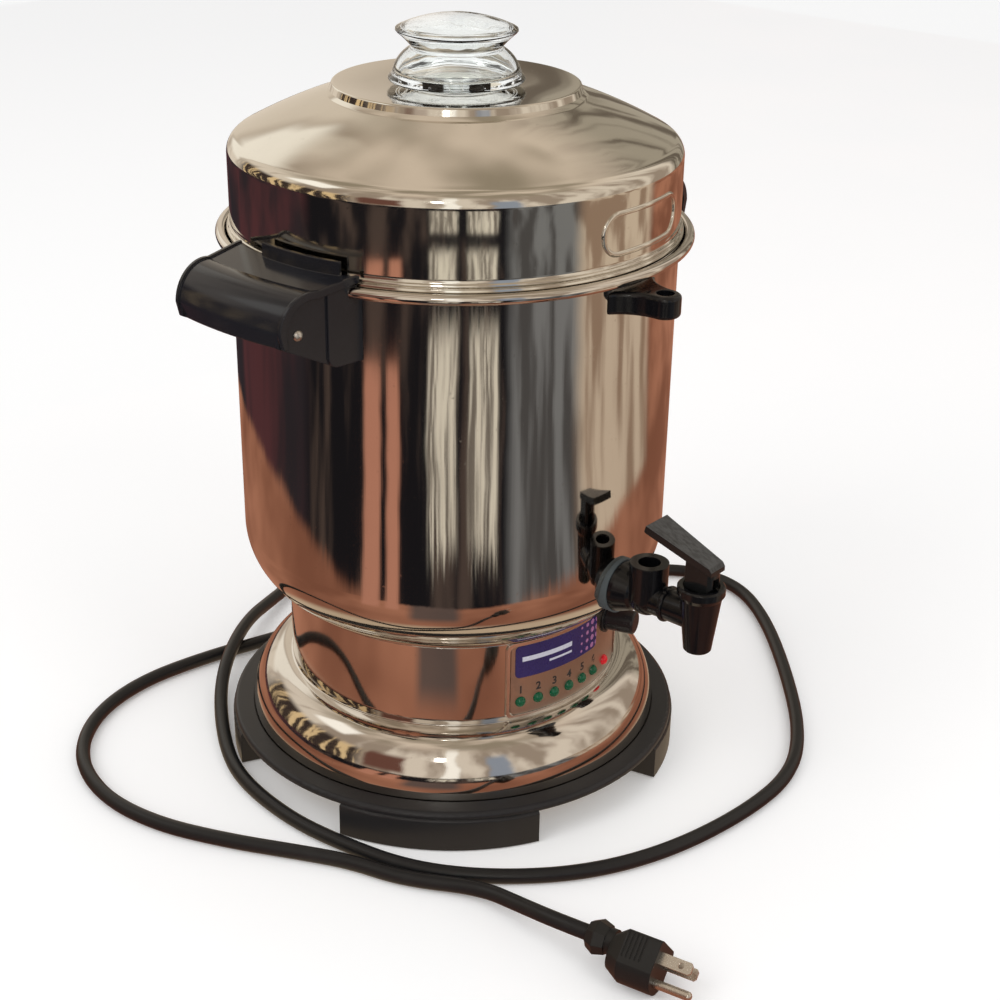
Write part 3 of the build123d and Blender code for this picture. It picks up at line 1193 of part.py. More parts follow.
# ---------------------------------------------------------------- push button
button_way = outward(BUTTON_AZIMUTH, 0, BUTTON_Z).location
bezel_in = NECK_R - SHEET - 3.0
bezel = ring(BUTTON_R + SEAT_GAP, BUTTON_R + 1.2, bezel_in, NECK_R + PANEL_T)
bezel += ring(BUTTON_R + SEAT_GAP, BEZEL_R, NECK_R + PANEL_T, NECK_R + BEZEL_OUT)
bezel -= ring(0, NECK_R, 0, 3)
save("button_bezel", button_way * bezel)
button_end = NECK_R + BUTTON_OUT
button_in = bezel_in - 1.0
button = turned(
    Polyline(
        (0, button_in),
        (BUTTON_R, button_in),
        (BUTTON_R, NECK_R + BEZEL_OUT),
        (BUTTON_R - 0.3, button_end - 1.4),
    )
    + ThreePointArc(
        (BUTTON_R - 0.3, button_end - 1.4),
        (BUTTON_R - 0.8, button_end - 0.4),
        (BUTTON_R - 1.7, button_end),
    )
    + Polyline((BUTTON_R - 1.7, button_end), (0, button_end), (0, button_in))
)
save("power_button", button_way * button)
switch_top = button_in - BUTTON_TRAVEL - SEAT_GAP
SWITCH_W, SWITCH_H, SWITCH_T = 19.0, 12.0, 14.0
switch = Pos(0, 0, switch_top - SWITCH_T / 2) * Box(SWITCH_W, SWITCH_H, SWITCH_T)
cheek_in = BUTTON_R + 0.9
cheeks = Pos(0, 0, (switch_top + bezel_in) / 2) * (
    Box(SWITCH_W, 6, bezel_in - switch_top) - Box(2 * cheek_in, 8, bezel_in)
)
save("power_switch", button_way * (switch + cheeks))

# ---------------------------------------------------------------- cord and plug


def corner_radii(route):
    """The arc at each corner that its two runs leave room for, and the tube's own length."""
    points = [Vector(*p) for p in route]
    runs = [b - a for a, b in zip(points, points[1:])]
    radii = []
    length = sum(run.length for run in runs)
    for before, after in zip(runs, runs[1:]):
        turn = radians(before.get_angle(after))
        radius = 0.45 * min(before.length, after.length) / tan(turn / 2)
        radii.append(radius)
        length -= radius * (2 * tan(turn / 2) - turn)
    return radii, length


radii, cord_length = corner_radii(CORD_ROUTE)
print("cord arcs, in diameters:", [round(r / CORD_D, 1) for r in radii])
cord_path = FilletPolyline(*CORD_ROUTE, radius=radii)
cord_start = Plane(origin=CORD_ROUTE[0], z_dir=Vector(*CORD_ROUTE[1]) - Vector(*CORD_ROUTE[0]))
cord = sweep(cord_start * Circle(CORD_D / 2), path=cord_path)
print("cord length", round(cord_length), "volume over section times length",
      round(cord.volume / (pi * CORD_D**2 / 4 * cord_length), 4))
save("power_cord", cord)

plug_start = Vector(*CORD_ROUTE[-1])
plug_way = (plug_start - Vector(*CORD_ROUTE[-2])).normalized()
plug_plane = Plane(origin=plug_start, x_dir=(-plug_way.Y, plug_way.X, 0), z_dir=plug_way).location
plug_plane *= Rot(0, 0, PLUG_ROLL)
# In the plug's own frame x is across, y is up and z points at the blades.
collar = loft(
    [
        Pos(0, 0, 0) * RegularPolygon(PLUG_COLLAR_R - 2.6, 8),
        Pos(0, 0, PLUG_COLLAR_L * 0.45) * RegularPolygon(PLUG_COLLAR_R, 8),
        Pos(0, 0, PLUG_COLLAR_L) * RegularPolygon(PLUG_COLLAR_R - 1.8, 8),
    ],
    ruled=True,
)
neck_end = PLUG_COLLAR_L + PLUG_NECK_L
collar += Pos(0, 0, PLUG_COLLAR_L) * extrude(Circle(7), PLUG_NECK_L)


def plug_section(shrink, z):
    """The plug's outline across the blades: square above, round below."""
    half = PLUG_W / 2 - shrink
    up, down = PLUG_UP - shrink, PLUG_DOWN - shrink
    outline = Polyline((-half, down - half * 0.8 - down), (-half, up), (half, up), (half, -half * 0.8)) + (
        ThreePointArc((half, -half * 0.8), (0, -down), (-half, -half * 0.8))
    )
    return Pos(0, 0, z) * fillet(make_face(outline.edges()).vertices().sort_by(Axis.Y)[-2:], 2.5)


plug_end = neck_end + PLUG_BODY_L
plug = loft([plug_section(4.6, neck_end), plug_section(0, neck_end + 8)], ruled=True)
plug += extrude(plug_section(0, neck_end + 8), PLUG_BODY_L - 8)
for k in range(5):
    groove_z = neck_end + 9.5 + 2.4 * k
    for side_of in (-1, 1):
        plug -= Pos(side_of * PLUG_W / 2, PLUG_UP - 8, groove_z) * Box(1.2, 13, 1.1)
plug += collar
BLADE_ROOT = 6.0
for side_of in (-1, 1):
    slot = Box(BLADE_T, BLADE_W, 2 * BLADE_ROOT)
    plug -= Pos(side_of * BLADE_PITCH / 2, 0, plug_end) * slot
plug -= Pos(0, -PIN_DROP, plug_end) * Cylinder(PIN_ROOT_R, 2 * BLADE_ROOT)
save("plug_body", plug_plane * plug)
blades = []
for side_of in (-1, 1):
    blade = Pos(0, 0, (BLADE_L - BLADE_ROOT) / 2) * Box(BLADE_T, BLADE_W, BLADE_L + BLADE_ROOT)
    blade = chamfer(blade.edges().filter_by(Axis.X).sort_by(Axis.Z)[-2:], 1.2)
    blade -= Pos(0, 0, BLADE_L - 6) * Rot(0, 90, 0) * Cylinder(1.6, 10)
    blades.append(plug_plane * Pos(side_of * BLADE_PITCH / 2, 0, plug_end) * blade)
save("plug_blades", *blades)
pin_outline = (
    Polyline(
        (0, -BLADE_ROOT),
        (PIN_ROOT_R, -BLADE_ROOT),
        (PIN_ROOT_R, 0),
        (GROUND_PIN_R, 0),
        (GROUND_PIN_R, GROUND_PIN_L - 2),
    )
    + dome(GROUND_PIN_R, GROUND_PIN_L - 2, 2)
    + Line((0, GROUND_PIN_L), (0, -BLADE_ROOT))
)
save("ground_pin", plug_plane * Pos(0, -PIN_DROP, plug_end) * turned(pin_outline))

print(len(written), "nodes")
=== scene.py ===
# %% [markdown]
# # A polished coffee urn
# The solids of the urn come from its CAD model, each already in its place. This lesson dresses
# them: it gives every piece a finish, and it rebuilds the mirror-bright shells as smooth surfaces,
# because a mirror shows every facet. Lengths are written in millimetres and turned into metres
# only when a mesh is made.

# %% Load the CAD model
import bpy
import bmesh
import json
import numpy as np
from math import cos, pi, radians, sin
from mathutils import Matrix, Vector


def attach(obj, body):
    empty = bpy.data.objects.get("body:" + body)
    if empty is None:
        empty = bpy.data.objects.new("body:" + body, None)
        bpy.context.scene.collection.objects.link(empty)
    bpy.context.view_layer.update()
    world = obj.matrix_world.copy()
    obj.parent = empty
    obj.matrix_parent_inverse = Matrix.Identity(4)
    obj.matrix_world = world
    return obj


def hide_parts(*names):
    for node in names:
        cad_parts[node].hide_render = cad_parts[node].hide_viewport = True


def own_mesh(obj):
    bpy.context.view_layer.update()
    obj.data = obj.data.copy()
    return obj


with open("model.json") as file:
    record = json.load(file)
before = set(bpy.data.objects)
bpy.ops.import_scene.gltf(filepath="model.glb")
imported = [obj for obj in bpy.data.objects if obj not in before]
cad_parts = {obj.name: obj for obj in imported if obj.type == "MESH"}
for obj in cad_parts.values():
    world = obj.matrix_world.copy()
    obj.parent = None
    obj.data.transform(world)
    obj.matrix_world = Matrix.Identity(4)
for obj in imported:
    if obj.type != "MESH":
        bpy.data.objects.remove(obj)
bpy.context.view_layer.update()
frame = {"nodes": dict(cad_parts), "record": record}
scene = bpy.context.scene
scene.view_settings.view_transform = "Standard"
MM = 0.001

# %% [markdown]
# ## Camera
# A camera is set by where it stands and by the way it looks: its heading, its pitch below the
# horizon and its roll. Turning those three angles into three axes by hand keeps every step
# visible, and the long lens gives the calm perspective of a product picture.

# %% Camera
heading, pitch, roll = radians(49.658), radians(25.348), radians(1.0076)
ahead = Vector((sin(heading) * cos(pitch), cos(heading) * cos(pitch), -sin(pitch)))
level = Vector((cos(heading), -sin(heading), 0))
above = level.cross(ahead)
across = cos(roll) * level + sin(roll) * above
upwards = -sin(roll) * level + cos(roll) * above
camera = bpy.data.objects.new("camera", bpy.data.cameras.new("camera"))
camera.data.lens = 62.77
camera.data.sensor_width = 36
camera.data.clip_start = 0.05
stand = Vector((-705.5, -635.2, 606.3)) * MM
facing = Matrix((across, upwards, -ahead)).transposed().to_4x4()
camera.matrix_world = Matrix.Translation(stand) @ facing
scene.collection.objects.link(camera)
scene.camera = camera
print("camera stands", round(stand.length, 3), "m from the middle of the urn's foot")

# %% [markdown]
# ## Power cord
# A cord is one flexible line of fixed length. A NURBS spline through a few control points bends
# as smoothly as a rubber sheath does, where a chain of arcs would look like bent wire. The points
# lie a cord's radius above the table, and two of them rise where the cord crosses itself.

# %% Power cord
CORD_D = 8.6
CORD_ROUTE = [
    (144.5, 20, 12.5), (159.7, 24.94, 12.5), (189, 36.5, 8), (223, 38, 4.4), (253, 22, 4.4),
    (270, -7, 4.4), (268, -42, 4.4), (240, -81, 4.4), (190, -129, 4.4), (134, -175, 4.4),
    (88, -197.5, 4.4), (36, -198.5, 4.4), (-24, -187, 4.4), (-72, -164, 4.4), (-110, -128, 4.4),
    (-134.5, -88, 4.4), (-143.5, -42, 4.4), (-146.5, -4, 4.4), (-139.5, 44, 4.4), (-122, 80, 4.4),
    (-88, 124, 7.5), (-59, 149, 14.2), (-18, 176, 14.2), (23, 194, 8), (65, 209, 4.4),
    (104, 222, 4.4), (132, 216, 4.4), (155, 197, 4.4), (166, 170, 4.4), (161, 140, 4.4),
    (140, 118, 4.4), (111, 112, 4.4), (72, 128, 4.4), (32, 145, 4.4), (-14, 158, 4.4),
    (-60, 172, 4.4), (-109, 179, 4.4), (-154, 168, 4.4), (-189, 138, 4.4), (-205, 95, 4.4),
    (-202, 50, 4.4), (-184.5, 5.5, 4.4), (-164, -34, 4.4), (-151.5, -60, 4.4), (-143.3, -92, 4.4),
    (-122, -131, 6.2), (-123, -160, 10.4), (-126.6, -187, 16.9), (-122.9, -206.8, 16.9),
]
line = bpy.data.curves.new("power_cord_line", "CURVE")
line.dimensions = "3D"
strand = line.splines.new("NURBS")
strand.points.add(len(CORD_ROUTE) - 1)
for point, place in zip(strand.points, CORD_ROUTE):
    point.co = (*[v * MM for v in place], 1)
    point.radius = CORD_D / 2 * MM
strand.order_u = 3
strand.use_endpoint_u = True
strand.resolution_u = 10
line.bevel_depth = 1.0            # is multiplied by each point's own radius
line.bevel_resolution = 5
power_cord = bpy.data.objects.new("power_cord_sheath", line)
scene.collection.objects.link(power_cord)
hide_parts("power_cord")
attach(power_cord, "urn")
print("cord with", len(CORD_ROUTE), "control points")

# %% [markdown]
# ## Shader sums
# A finish is mostly arithmetic on coordinates and noise. Wrapping a socket in a small class lets
# Python's own operators add the Math nodes, so that a mask reads like a formula. One method makes
# every other kind of node.


# %% A class for sums on sockets
class Value:
    """A node's output that can be added, multiplied and compared like a number."""

    def __init__(self, finish, socket):
        self.finish, self.socket = finish, socket

    def math(self, operation, *others, clamp=False):
        inputs = dict(enumerate((self, *others)))
        settings = {"operation": operation, "use_clamp": clamp}
        return self.finish.node("ShaderNodeMath", settings, inputs)

    def __add__(self, other):
        return self.math("ADD", other)

    def __mul__(self, other):
        return self.math("MULTIPLY", other)

    def __sub__(self, other):
        return self.math("SUBTRACT", other)

    def __rsub__(self, other):
        return self.finish.node("ShaderNodeMath", {"operation": "SUBTRACT"}, {0: other, 1: self})

    def __truediv__(self, other):
        return self.math("DIVIDE", other)

    def __pow__(self, other):
        return self.math("POWER", other)

    __radd__, __rmul__ = __add__, __mul__

    def rise(self, low, high):
        """0 below low, 1 above high and a smooth step between them."""
        limits = {"Value": self, "From Min": low, "From Max": high}
        return self.finish.node("ShaderNodeMapRange", {"interpolation_type": "SMOOTHSTEP"}, limits)

    def band(self, low, high, edge):
        """1 between low and high, with soft edges."""
        return self.rise(low - edge, low + edge) * (1 - self.rise(high - edge, high + edge))


class Finish:
    """A material whose changing values are worked out with nodes."""

    def __init__(self, name, colour=(0.5, 0.5, 0.5), **constants):
        self.material = bpy.data.materials.new(name)
        self.material.use_nodes = True
        self.tree = self.material.node_tree
        self.shader = self.tree.nodes["Principled BSDF"]
        self.shader.inputs["Base Color"].default_value = (*colour, 1)
        for socket, number in constants.items():
            self.shader.inputs[socket.replace("_", " ")].default_value = number

    def node(self, kind, settings=None, inputs=None, output=0):
        """Add one node: its settings first, then a value or a link for each named socket."""
        made = self.tree.nodes.new(kind)
        for key, setting in (settings or {}).items():
            if key == "stops":
                self.fill_ramp(made.color_ramp, setting)
            else:
                setattr(made, key, setting)
        for key, given in (inputs or {}).items():
            if isinstance(given, Value):
                self.tree.links.new(given.socket, made.inputs[key])
            else:
                made.inputs[key].default_value = given
        return Value(self, made.outputs[output])

    def fill_ramp(self, ramp, stops):
        while len(ramp.elements) < len(stops):
            ramp.elements.new(0.5)
        for element, (place, colour) in zip(ramp.elements, stops):
            element.position, element.color = place, (*colour, 1)

    def place(self, stretch=(1, 1, 1)):
        """The point on the piece in metres, stretched along each axis."""
        point = self.node("ShaderNodeTexCoord", output="Object")
        return self.node("ShaderNodeMapping", None, {"Vector": point, "Scale": stretch})

    def axes(self):
        """The point's x, y and z as three values."""
        point = self.node("ShaderNodeTexCoord", output="Object")
        parts = self.node("ShaderNodeSeparateXYZ", None, {0: point})
        return [Value(self, parts.socket.node.outputs[i]) for i in range(3)]

    def noise(self, scale, detail=3.0, rough=0.55, stretch=(1, 1, 1)):
        """Cloudy noise from 0 to 1; scale is the number of clouds in a metre."""
        given = {"Scale": scale, "Detail": detail, "Roughness": rough}
        given["Vector"] = self.place(stretch)
        return self.node("ShaderNodeTexNoise", None, given)

    def blend(self, mask, low, high):
        """A colour that goes from low to high with a mask."""
        low, high = [c if isinstance(c, Value) else (*c, 1) for c in (low, high)]
        given = {0: mask, 6: low, 7: high}
        return self.node("ShaderNodeMix", {"data_type": "RGBA"}, given, output=2)

    def set(self, socket, value):
        self.tree.links.new(value.socket, self.shader.inputs[socket])

    def relief(self, height, depth, edge=0.0):
        """Raise the surface by a height from 0 to 1 times a depth in millimetres, and round
        off its edges in the shading by a radius in millimetres."""
        given = {"Height": height, "Distance": depth * MM, "Strength": 1.0}
        if edge:
            given["Normal"] = self.node("ShaderNodeBevel", {"samples": 6}, {"Radius": edge * MM})
        self.set("Normal", self.node("ShaderNodeBump", None, given))


print("shader sums ready")

# %% [markdown]
# ## Polished steel
# Drawn steel is a mirror that is nowhere quite flat. Slow waves a few centimetres long bend the
# reflections, and the polishing wheel leaves hairlines that run up the wall. Both go into a bump
# of hundredths of a millimetre. Handling dulls the mirror in patches, so roughness varies too.


# %% Polished steel
def polished_steel(name, colour, rough, hairline, waves=(9, 9, 5)):
    """Mirror steel with slow waves, hairlines along the axis and a few dull patches."""
    steel = Finish(name, colour, Metallic=1.0)
    smear = steel.noise(14, 4, 0.6, (1, 1, 0.5))
    lines = steel.noise(1400, 2, 0.5, (1, 1, 0.012))
    spots = steel.noise(260, 2, 0.7).rise(0.66, 0.78)
    steel.set("Roughness", rough + 0.05 * smear.rise(0.45, 0.75) + hairline * lines + 0.10 * spots)
    darker = tuple(c * 0.86 for c in colour)
    steel.set("Base Color", steel.blend(smear.rise(0.3, 0.75) * 0.5 + spots * 0.4, colour, darker))
    wave = steel.noise(1, 1.5, 0.4, waves)
    steel.relief(wave + 0.0018 * lines, 2.2)
    return steel.material


vessel_steel = polished_steel("vessel_steel", (0.70, 0.665, 0.62), 0.02, 0.06)
lid_steel = polished_steel("lid_steel", (0.74, 0.71, 0.65), 0.03, 0.05, (7, 7, 5))
pedestal_steel = polished_steel("pedestal_steel", (0.71, 0.675, 0.63), 0.035, 0.06, (12, 12, 10))
print("three steels:", [m.name for m in (vessel_steel, lid_steel, pedestal_steel)])


# %% [markdown]
# ## Plain metals
# Brackets, screws, the basket and the contacts are satin or plated. Fine grain in the roughness
# and a faint bump keep them from looking like paint.


# %% Plain metals
def satin_metal(name, colour, rough, grain=(1, 1, 1), depth=0.01, edge=0.3):
    """Metal with a fine grain, a few darker marks and softened edges."""
    metal = Finish(name, colour, Metallic=1.0)
    fine = metal.noise(1500, 3, 0.6, grain)
    marks = metal.noise(60, 4, 0.65).rise(0.55, 0.8)
    metal.set("Roughness", rough + 0.16 * fine + 0.1 * marks)
    darker = tuple(c * 0.6 for c in colour)
    metal.set("Base Color", metal.blend(marks * 0.6 + fine * 0.2, colour, darker))
    metal.relief(fine, depth, edge)
    return metal.material


finishes = {
    "basket_steel": satin_metal("basket_steel", (0.62, 0.61, 0.59), 0.22, (1, 1, 0.05)),
    "plate_steel": satin_metal("plate_steel", (0.55, 0.55, 0.54), 0.34),
    "screw_steel": satin_metal("screw_steel", (0.66, 0.65, 0.63), 0.2),
    "nickel": satin_metal("nickel", (0.74, 0.71, 0.66), 0.2, (1, 1, 0.2), 0.008, 0.2),
    "aluminium": satin_metal("aluminium", (0.72, 0.72, 0.73), 0.36, (0.1, 1, 1)),
    "panel_metal": satin_metal("panel_metal", (0.66, 0.62, 0.57), 0.24, (1, 1, 0.03), 0.004, 0.1),
    "panel_trim": satin_metal("panel_trim", (0.84, 0.82, 0.79), 0.12, (1, 1, 1), 0.004, 0.3),
    "vessel_steel": vessel_steel,
    "lid_steel": lid_steel,
    "pedestal_steel": pedestal_steel,
}
print(len(finishes), "metals")


# %% [markdown]
# ## Black plastics and rubbers
# Black is the hardest colour to get right: the eye reads it from its gloss. Each moulding gets a
# little dust, scuffs that dull the gloss and catch light, and edges rounded in the shading.


# %% Black plastics and rubbers
def moulding(name, colour, rough, dust, depth, edge, worn=(0.035, 0.035, 0.036)):
    """A moulded piece with cloudy gloss, specks of dust and softened edges."""
    plastic = Finish(name, colour, Specular_IOR_Level=0.42)
    cloud = plastic.noise(30, 4, 0.6)
    fine = plastic.noise(900, 3, 0.6)
    specks = plastic.noise(2200, 2, 0.5).rise(0.68, 0.76)
    scuffs = plastic.noise(420, 3, 0.7, (1, 0.25, 1)).rise(0.6, 0.82)
    mask = (cloud.rise(0.45, 0.8) * 0.35 + specks + scuffs * 0.6) * dust
    plastic.set("Base Color", plastic.blend(mask, colour, worn))
    plastic.set("Roughness", rough + 0.12 * cloud + 0.3 * mask)
    plastic.relief(fine + specks * 0.5, depth, edge)
    return plastic.material


finishes |= {
    "handle_plastic": moulding("handle_plastic", (0.011, 0.011, 0.014), 0.09, 0.35, 0.010, 0.9),
    "tap_plastic": moulding("tap_plastic", (0.004, 0.004, 0.005), 0.09, 0.25, 0.010, 0.7),
    "button_plastic": moulding("button_plastic", (0.012, 0.010, 0.012), 0.16, 0.3, 0.01, 0.6),
    "base_plastic": moulding("base_plastic", (0.014, 0.014, 0.016), 0.3, 0.5, 0.03, 0.9),
    "washer_rubber": moulding("washer_rubber", (0.075, 0.090, 0.095), 0.5, 0.6, 0.03, 0.4),
    "pad_rubber": moulding("pad_rubber", (0.02, 0.02, 0.02), 0.7, 0.6, 0.05, 0.5),
    "seal_silicone": moulding("seal_silicone", (0.42, 0.41, 0.39), 0.4, 0.3, 0.02, 0.4),
    "cord_rubber": moulding("cord_rubber", (0.010, 0.010, 0.011), 0.3, 0.45, 0.03, 0.0),
    "plug_rubber": moulding("plug_rubber", (0.010, 0.010, 0.010), 0.3, 0.5, 0.03, 0.6),
    "board": moulding("board", (0.02, 0.12, 0.05), 0.35, 0.3, 0.02, 0.2),
    "white_ceramic": moulding(
        "white_ceramic", (0.72, 0.70, 0.66), 0.4, 0.3, 0.02, 0.5, (0.5, 0.46, 0.4)),
}
print(len(finishes), "finishes so far")

# %% [markdown]
# ## Lever with a grey top
# The upward-facing top of the lever's paddle is painted a dusty grey and made rougher, while its
# sides stay black. The surface's own upward tilt makes the mask, and streaky noise breaks its edge.

# %% Lever with a grey top
lever = Finish("lever_plastic", (0.010, 0.010, 0.010), Specular_IOR_Level=0.35)
tilt = lever.node("ShaderNodeTexCoord", output="Normal")
upness = Value(lever, lever.node("ShaderNodeSeparateXYZ", None, {0: tilt}).socket.node.outputs[2])
streaks = lever.noise(700, 4, 0.7, (1, 0.3, 0.3))
# The faces of the paddle that tilt upwards are painted a lighter, rougher grey.
grey_top = upness.rise(0.35, 0.75) * (0.35 + 0.65 * streaks.rise(0.35, 0.65))
lever.set("Base Color", lever.blend(grey_top, (0.009, 0.009, 0.009), (0.085, 0.083, 0.080)))
lever.set("Roughness", 0.16 + 0.38 * grey_top)
lever.relief(streaks * grey_top, 0.06, 0.6)
finishes["lever_plastic"] = lever.material

# %% [markdown]
# ## Clear and coloured lenses
# The knob is pressed glass: clear, heavy and slightly uneven. The lamps are tinted plastic with
# a painted glow: a weak emission, patchy with noise, stands in for light gathered in the lens.

# %% Lenses
glass = Finish("knob_glass", (0.97, 0.985, 0.975), Transmission_Weight=1.0, IOR=1.47)
glass.set("Roughness", 0.01 + 0.04 * glass.noise(90, 3, 0.6).rise(0.55, 0.8))
glass.relief(glass.noise(45, 2, 0.5), 0.35)
finishes["knob_glass"] = glass.material


def lamp_lens(name, colour, glow):
    """A tinted lens with a painted glow: a weak emission, patchy with noise, stands in for light
    gathered in the lens.
    """
    # The weak emission is a painted glow for light that the lens gathers; the lamp itself is not
    # lit.
    lens = Finish(name, colour, Transmission_Weight=0.2, IOR=1.5, Emission_Strength=0.25)
    cloud = lens.noise(700, 2, 0.5)
    lens.set("Base Color", lens.blend(cloud, colour, tuple(min(1, c * 1.8) for c in colour)))
    lens.set("Emission Color", lens.blend(cloud, tuple(c * glow for c in colour), colour))
    lens.set("Roughness", 0.03 + 0.05 * cloud)
    lens.relief(cloud, 0.02)
    return lens.material


finishes["green_lens"] = lamp_lens("green_lens", (0.002, 0.060, 0.026), 0.5)
finishes["red_lens"] = lamp_lens("red_lens", (0.50, 0.012, 0.02), 0.6)
print("lenses ready")

# %% [markdown]
# ## Blue label
# The label wraps round the neck, so its pattern is drawn in the angle round the axis and the
# height. Two plain bars stand where such labels have a title, and a few dots grow towards one
# end: each dot is where the distance from the middle of its own cell is small. There is no
# writing on it.

# %% Blue label
label = Finish("label_film", (0.02, 0.018, 0.11), Coat_Weight=0.3)
x, y, z = label.axes()
label_r, cell = 100.5, 5.2                              # the label's radius and a dot's cell
along = x.math("ARCTAN2", 0 - y) * label_r              # millimetres round the neck
height = z * 1000
across_cell = ((along + 3.0) / cell).math("FRACT") - 0.5
up_cell = ((height - 88.2) / cell).math("FRACT") - 0.5
distance = (across_cell * across_cell + up_cell * up_cell) ** 0.5 * cell
size = 0.7 + 1.1 * along.rise(-4, 13)
dots = (1 - (distance - size).rise(-0.12, 0.12)) * along.rise(-3.1, -3.0)
title = height.band(98.4, 101.4, 0.12) * along.band(-44, -9, 0.2)
subtitle = height.band(94.2, 95.6, 0.12) * along.band(-26, -9, 0.2)
wash = label.noise(50, 3, 0.6)
field = label.blend(wash, (0.012, 0.011, 0.080), (0.024, 0.020, 0.130))
inked = label.blend(dots, field, (0.42, 0.16, 0.34))
label.set("Base Color", label.blend(title + subtitle, inked, (0.60, 0.60, 0.68)))
label.set("Roughness", 0.18 + 0.2 * label.noise(120, 3, 0.6))
label.relief(label.noise(600, 2, 0.5), 0.01)
finishes["label_film"] = label.material
print("label drawn in angle and height")

# %% [markdown]
# ## Give every CAD piece its finish
# The record names a material slot for each piece. Walking through that list once means that no
# piece is forgotten.

# %% Dress the CAD pieces
slot_of = {piece["node"]: piece["material_slot"] for piece in frame["record"]["subparts"]}


def dress(piece, slot):
    """Put one finish on a whole piece."""
    piece.data.materials.clear()
    piece.data.materials.append(finishes[slot])


for node, piece in frame["nodes"].items():
    dress(piece, slot_of[node])
dress(power_cord, "cord_rubber")
dress(frame["nodes"]["knob_retainer"], "basket_steel")
print(len(slot_of), "pieces dressed")

# %% [markdown]
# ## Surfaces of revolution
# A spun or drawn shell is one outline carried round an axis: a point (r, h) of the outline goes to
# (r sin a, -r cos a, h) for every angle a. The outline is written as corners with a radius at
# each, and every corner becomes an arc with one extra point beside it, which keeps the shading of
# the long straight walls flat.


# %% Outlines and turned surfaces
def rounded(corners, step=4.0, support=0.5):
    """Replace each corner (r, h, radius) of a closed outline by an arc of that radius.

    The arc touches both runs at radius / tan(half the corner's angle) from the corner.
    """
    out = []
    places = np.array([corner[:2] for corner in corners], float)
    for i, corner in enumerate(corners):
        here = places[i]
        back, on = places[i - 1] - here, places[(i + 1) % len(places)] - here
        radius = corner[2] if len(corner) > 2 else 0.0
        if radius == 0:
            out.append(here[None])
            continue
        u, v = back / np.linalg.norm(back), on / np.linalg.norm(on)
        half = np.arccos(np.clip(u @ v, -1, 1)) / 2
        reach = radius / np.tan(half)
        centre = here + (u + v) / np.linalg.norm(u + v) * radius / np.sin(half)
        first, last = here + u * reach - centre, here + v * reach - centre
        begin = np.arctan2(first[1], first[0])
        sweep = (np.arctan2(last[1], last[0]) - begin + np.pi) % (2 * np.pi) - np.pi
        angle = begin + sweep * np.linspace(0, 1, max(4, int(abs(np.degrees(sweep)) / step) + 2))
        arc = centre + radius * np.stack([np.cos(angle), np.sin(angle)], 1)
        out.append(np.vstack([here + u * (reach + support), arc, here + v * (reach + support)]))
    return np.vstack(out)


def as_mesh(name, points, faces, body, slot, *nodes, smooth=True):
    """Make a mesh of points in millimetres, put it on a body and let it stand for CAD nodes."""
    mesh = bpy.data.meshes.new(name)
    mesh.from_pydata((np.asarray(points) * MM).tolist(), [], [tuple(f) for f in faces])
    mesh.polygons.foreach_set("use_smooth", np.full(len(mesh.polygons), smooth))
    piece = bpy.data.objects.new(name, mesh)
    scene.collection.objects.link(piece)
    if nodes:
        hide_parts(*nodes)
    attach(piece, body)
    dress(piece, slot)
    return piece


def tidy(piece):
    """Merge doubled points and turn every face outwards."""
    work = bmesh.new()
    work.from_mesh(piece.data)
    bmesh.ops.remove_doubles(work, verts=work.verts, dist=1e-6)
    bmesh.ops.recalc_face_normals(work, faces=work.faces)
    work.to_mesh(piece.data)
    work.free()
    return piece


def grid_faces(rows, columns, wrap_rows, wrap_columns):
    """The four-sided faces of a grid of points, closed along either way."""
    i = np.arange(rows if wrap_rows else rows - 1)
    j = np.arange(columns if wrap_columns else columns - 1)
    i, j = np.meshgrid(i, j, indexing="ij")
    below, above_row = i * columns, (i + 1) % rows * columns
    right = (j + 1) % columns
    return np.stack([below + j, below + right, above_row + right, above_row + j], -1).reshape(-1, 4)


def turn(name, outline, body, slot, *nodes, around=240):
    """Carry a closed outline of (r, h) round the Z axis."""
    angle = np.linspace(0, 2 * np.pi, around, endpoint=False)
    r, h = outline[:, :1], outline[:, 1:]
    grid = np.stack([r * np.sin(angle), -r * np.cos(angle), h + 0 * angle], -1)
    faces = grid_faces(len(outline), around, True, True)
    piece = tidy(as_mesh(name, grid.reshape(-1, 3), faces, body, slot, *nodes))
    print(name, len(piece.data.polygons), "faces")
    return piece


# %% [markdown]
# ## Vessel
# The pot is drawn from one sheet: a flat floor with a round well for the heater, a wide bend, a
# straight wall, and a rim that is rolled outwards over itself into a bead. Its outline goes up the
# outside, round the bead as most of a circle, and down the inside, a sheet's thickness away.

# %% Vessel
rim_z, bead_r, bead_z = 328.19, 130.5, 326.99


def circle_part(centre, radius, begin, end, steps):
    """Points on a circle between two angles in degrees: centre + radius (cosine, sine)."""
    t = np.radians(np.linspace(begin, end, steps))
    return np.array(centre) + radius * np.stack([np.cos(t), np.sin(t)], 1)


wall_outside = rounded([
    (0, 94.99), (26, 94.99, 2.0), (26, 106.99, 2.0), (125, 106.99, 45), (125, 327.39, 0.4),
    (127.5, 327.39),
], step=3.0)
wall_inside = rounded([
    (127.95, rim_z), (124.2, rim_z, 0.4), (124.2, 107.79, 44.2), (25.2, 107.79, 1.2),
    (25.2, 95.79, 1.2), (0, 95.79),
], step=3.0)
rim_bead = circle_part((bead_r, bead_z), 2.9, 172, 515.6, 40)
vessel_outline = np.vstack([wall_outside, rim_bead, wall_inside])
turn("vessel_shell", vessel_outline, "urn", "vessel_steel", "vessel", around=256)

# %% [markdown]
# ## Pedestal
# The foot flares as a quarter of an ellipse, meets the neck in a crisp crease and turns in under
# itself at the bottom. An ellipse is a circle stretched by a different amount each way, so its
# points are (cosine times one radius, sine times the other).

# %% Pedestal
ledge, spring, crease, top = 24.4, 27.0, 60.0, 111.2
neck_out, neck_in = 99.8, 99.0


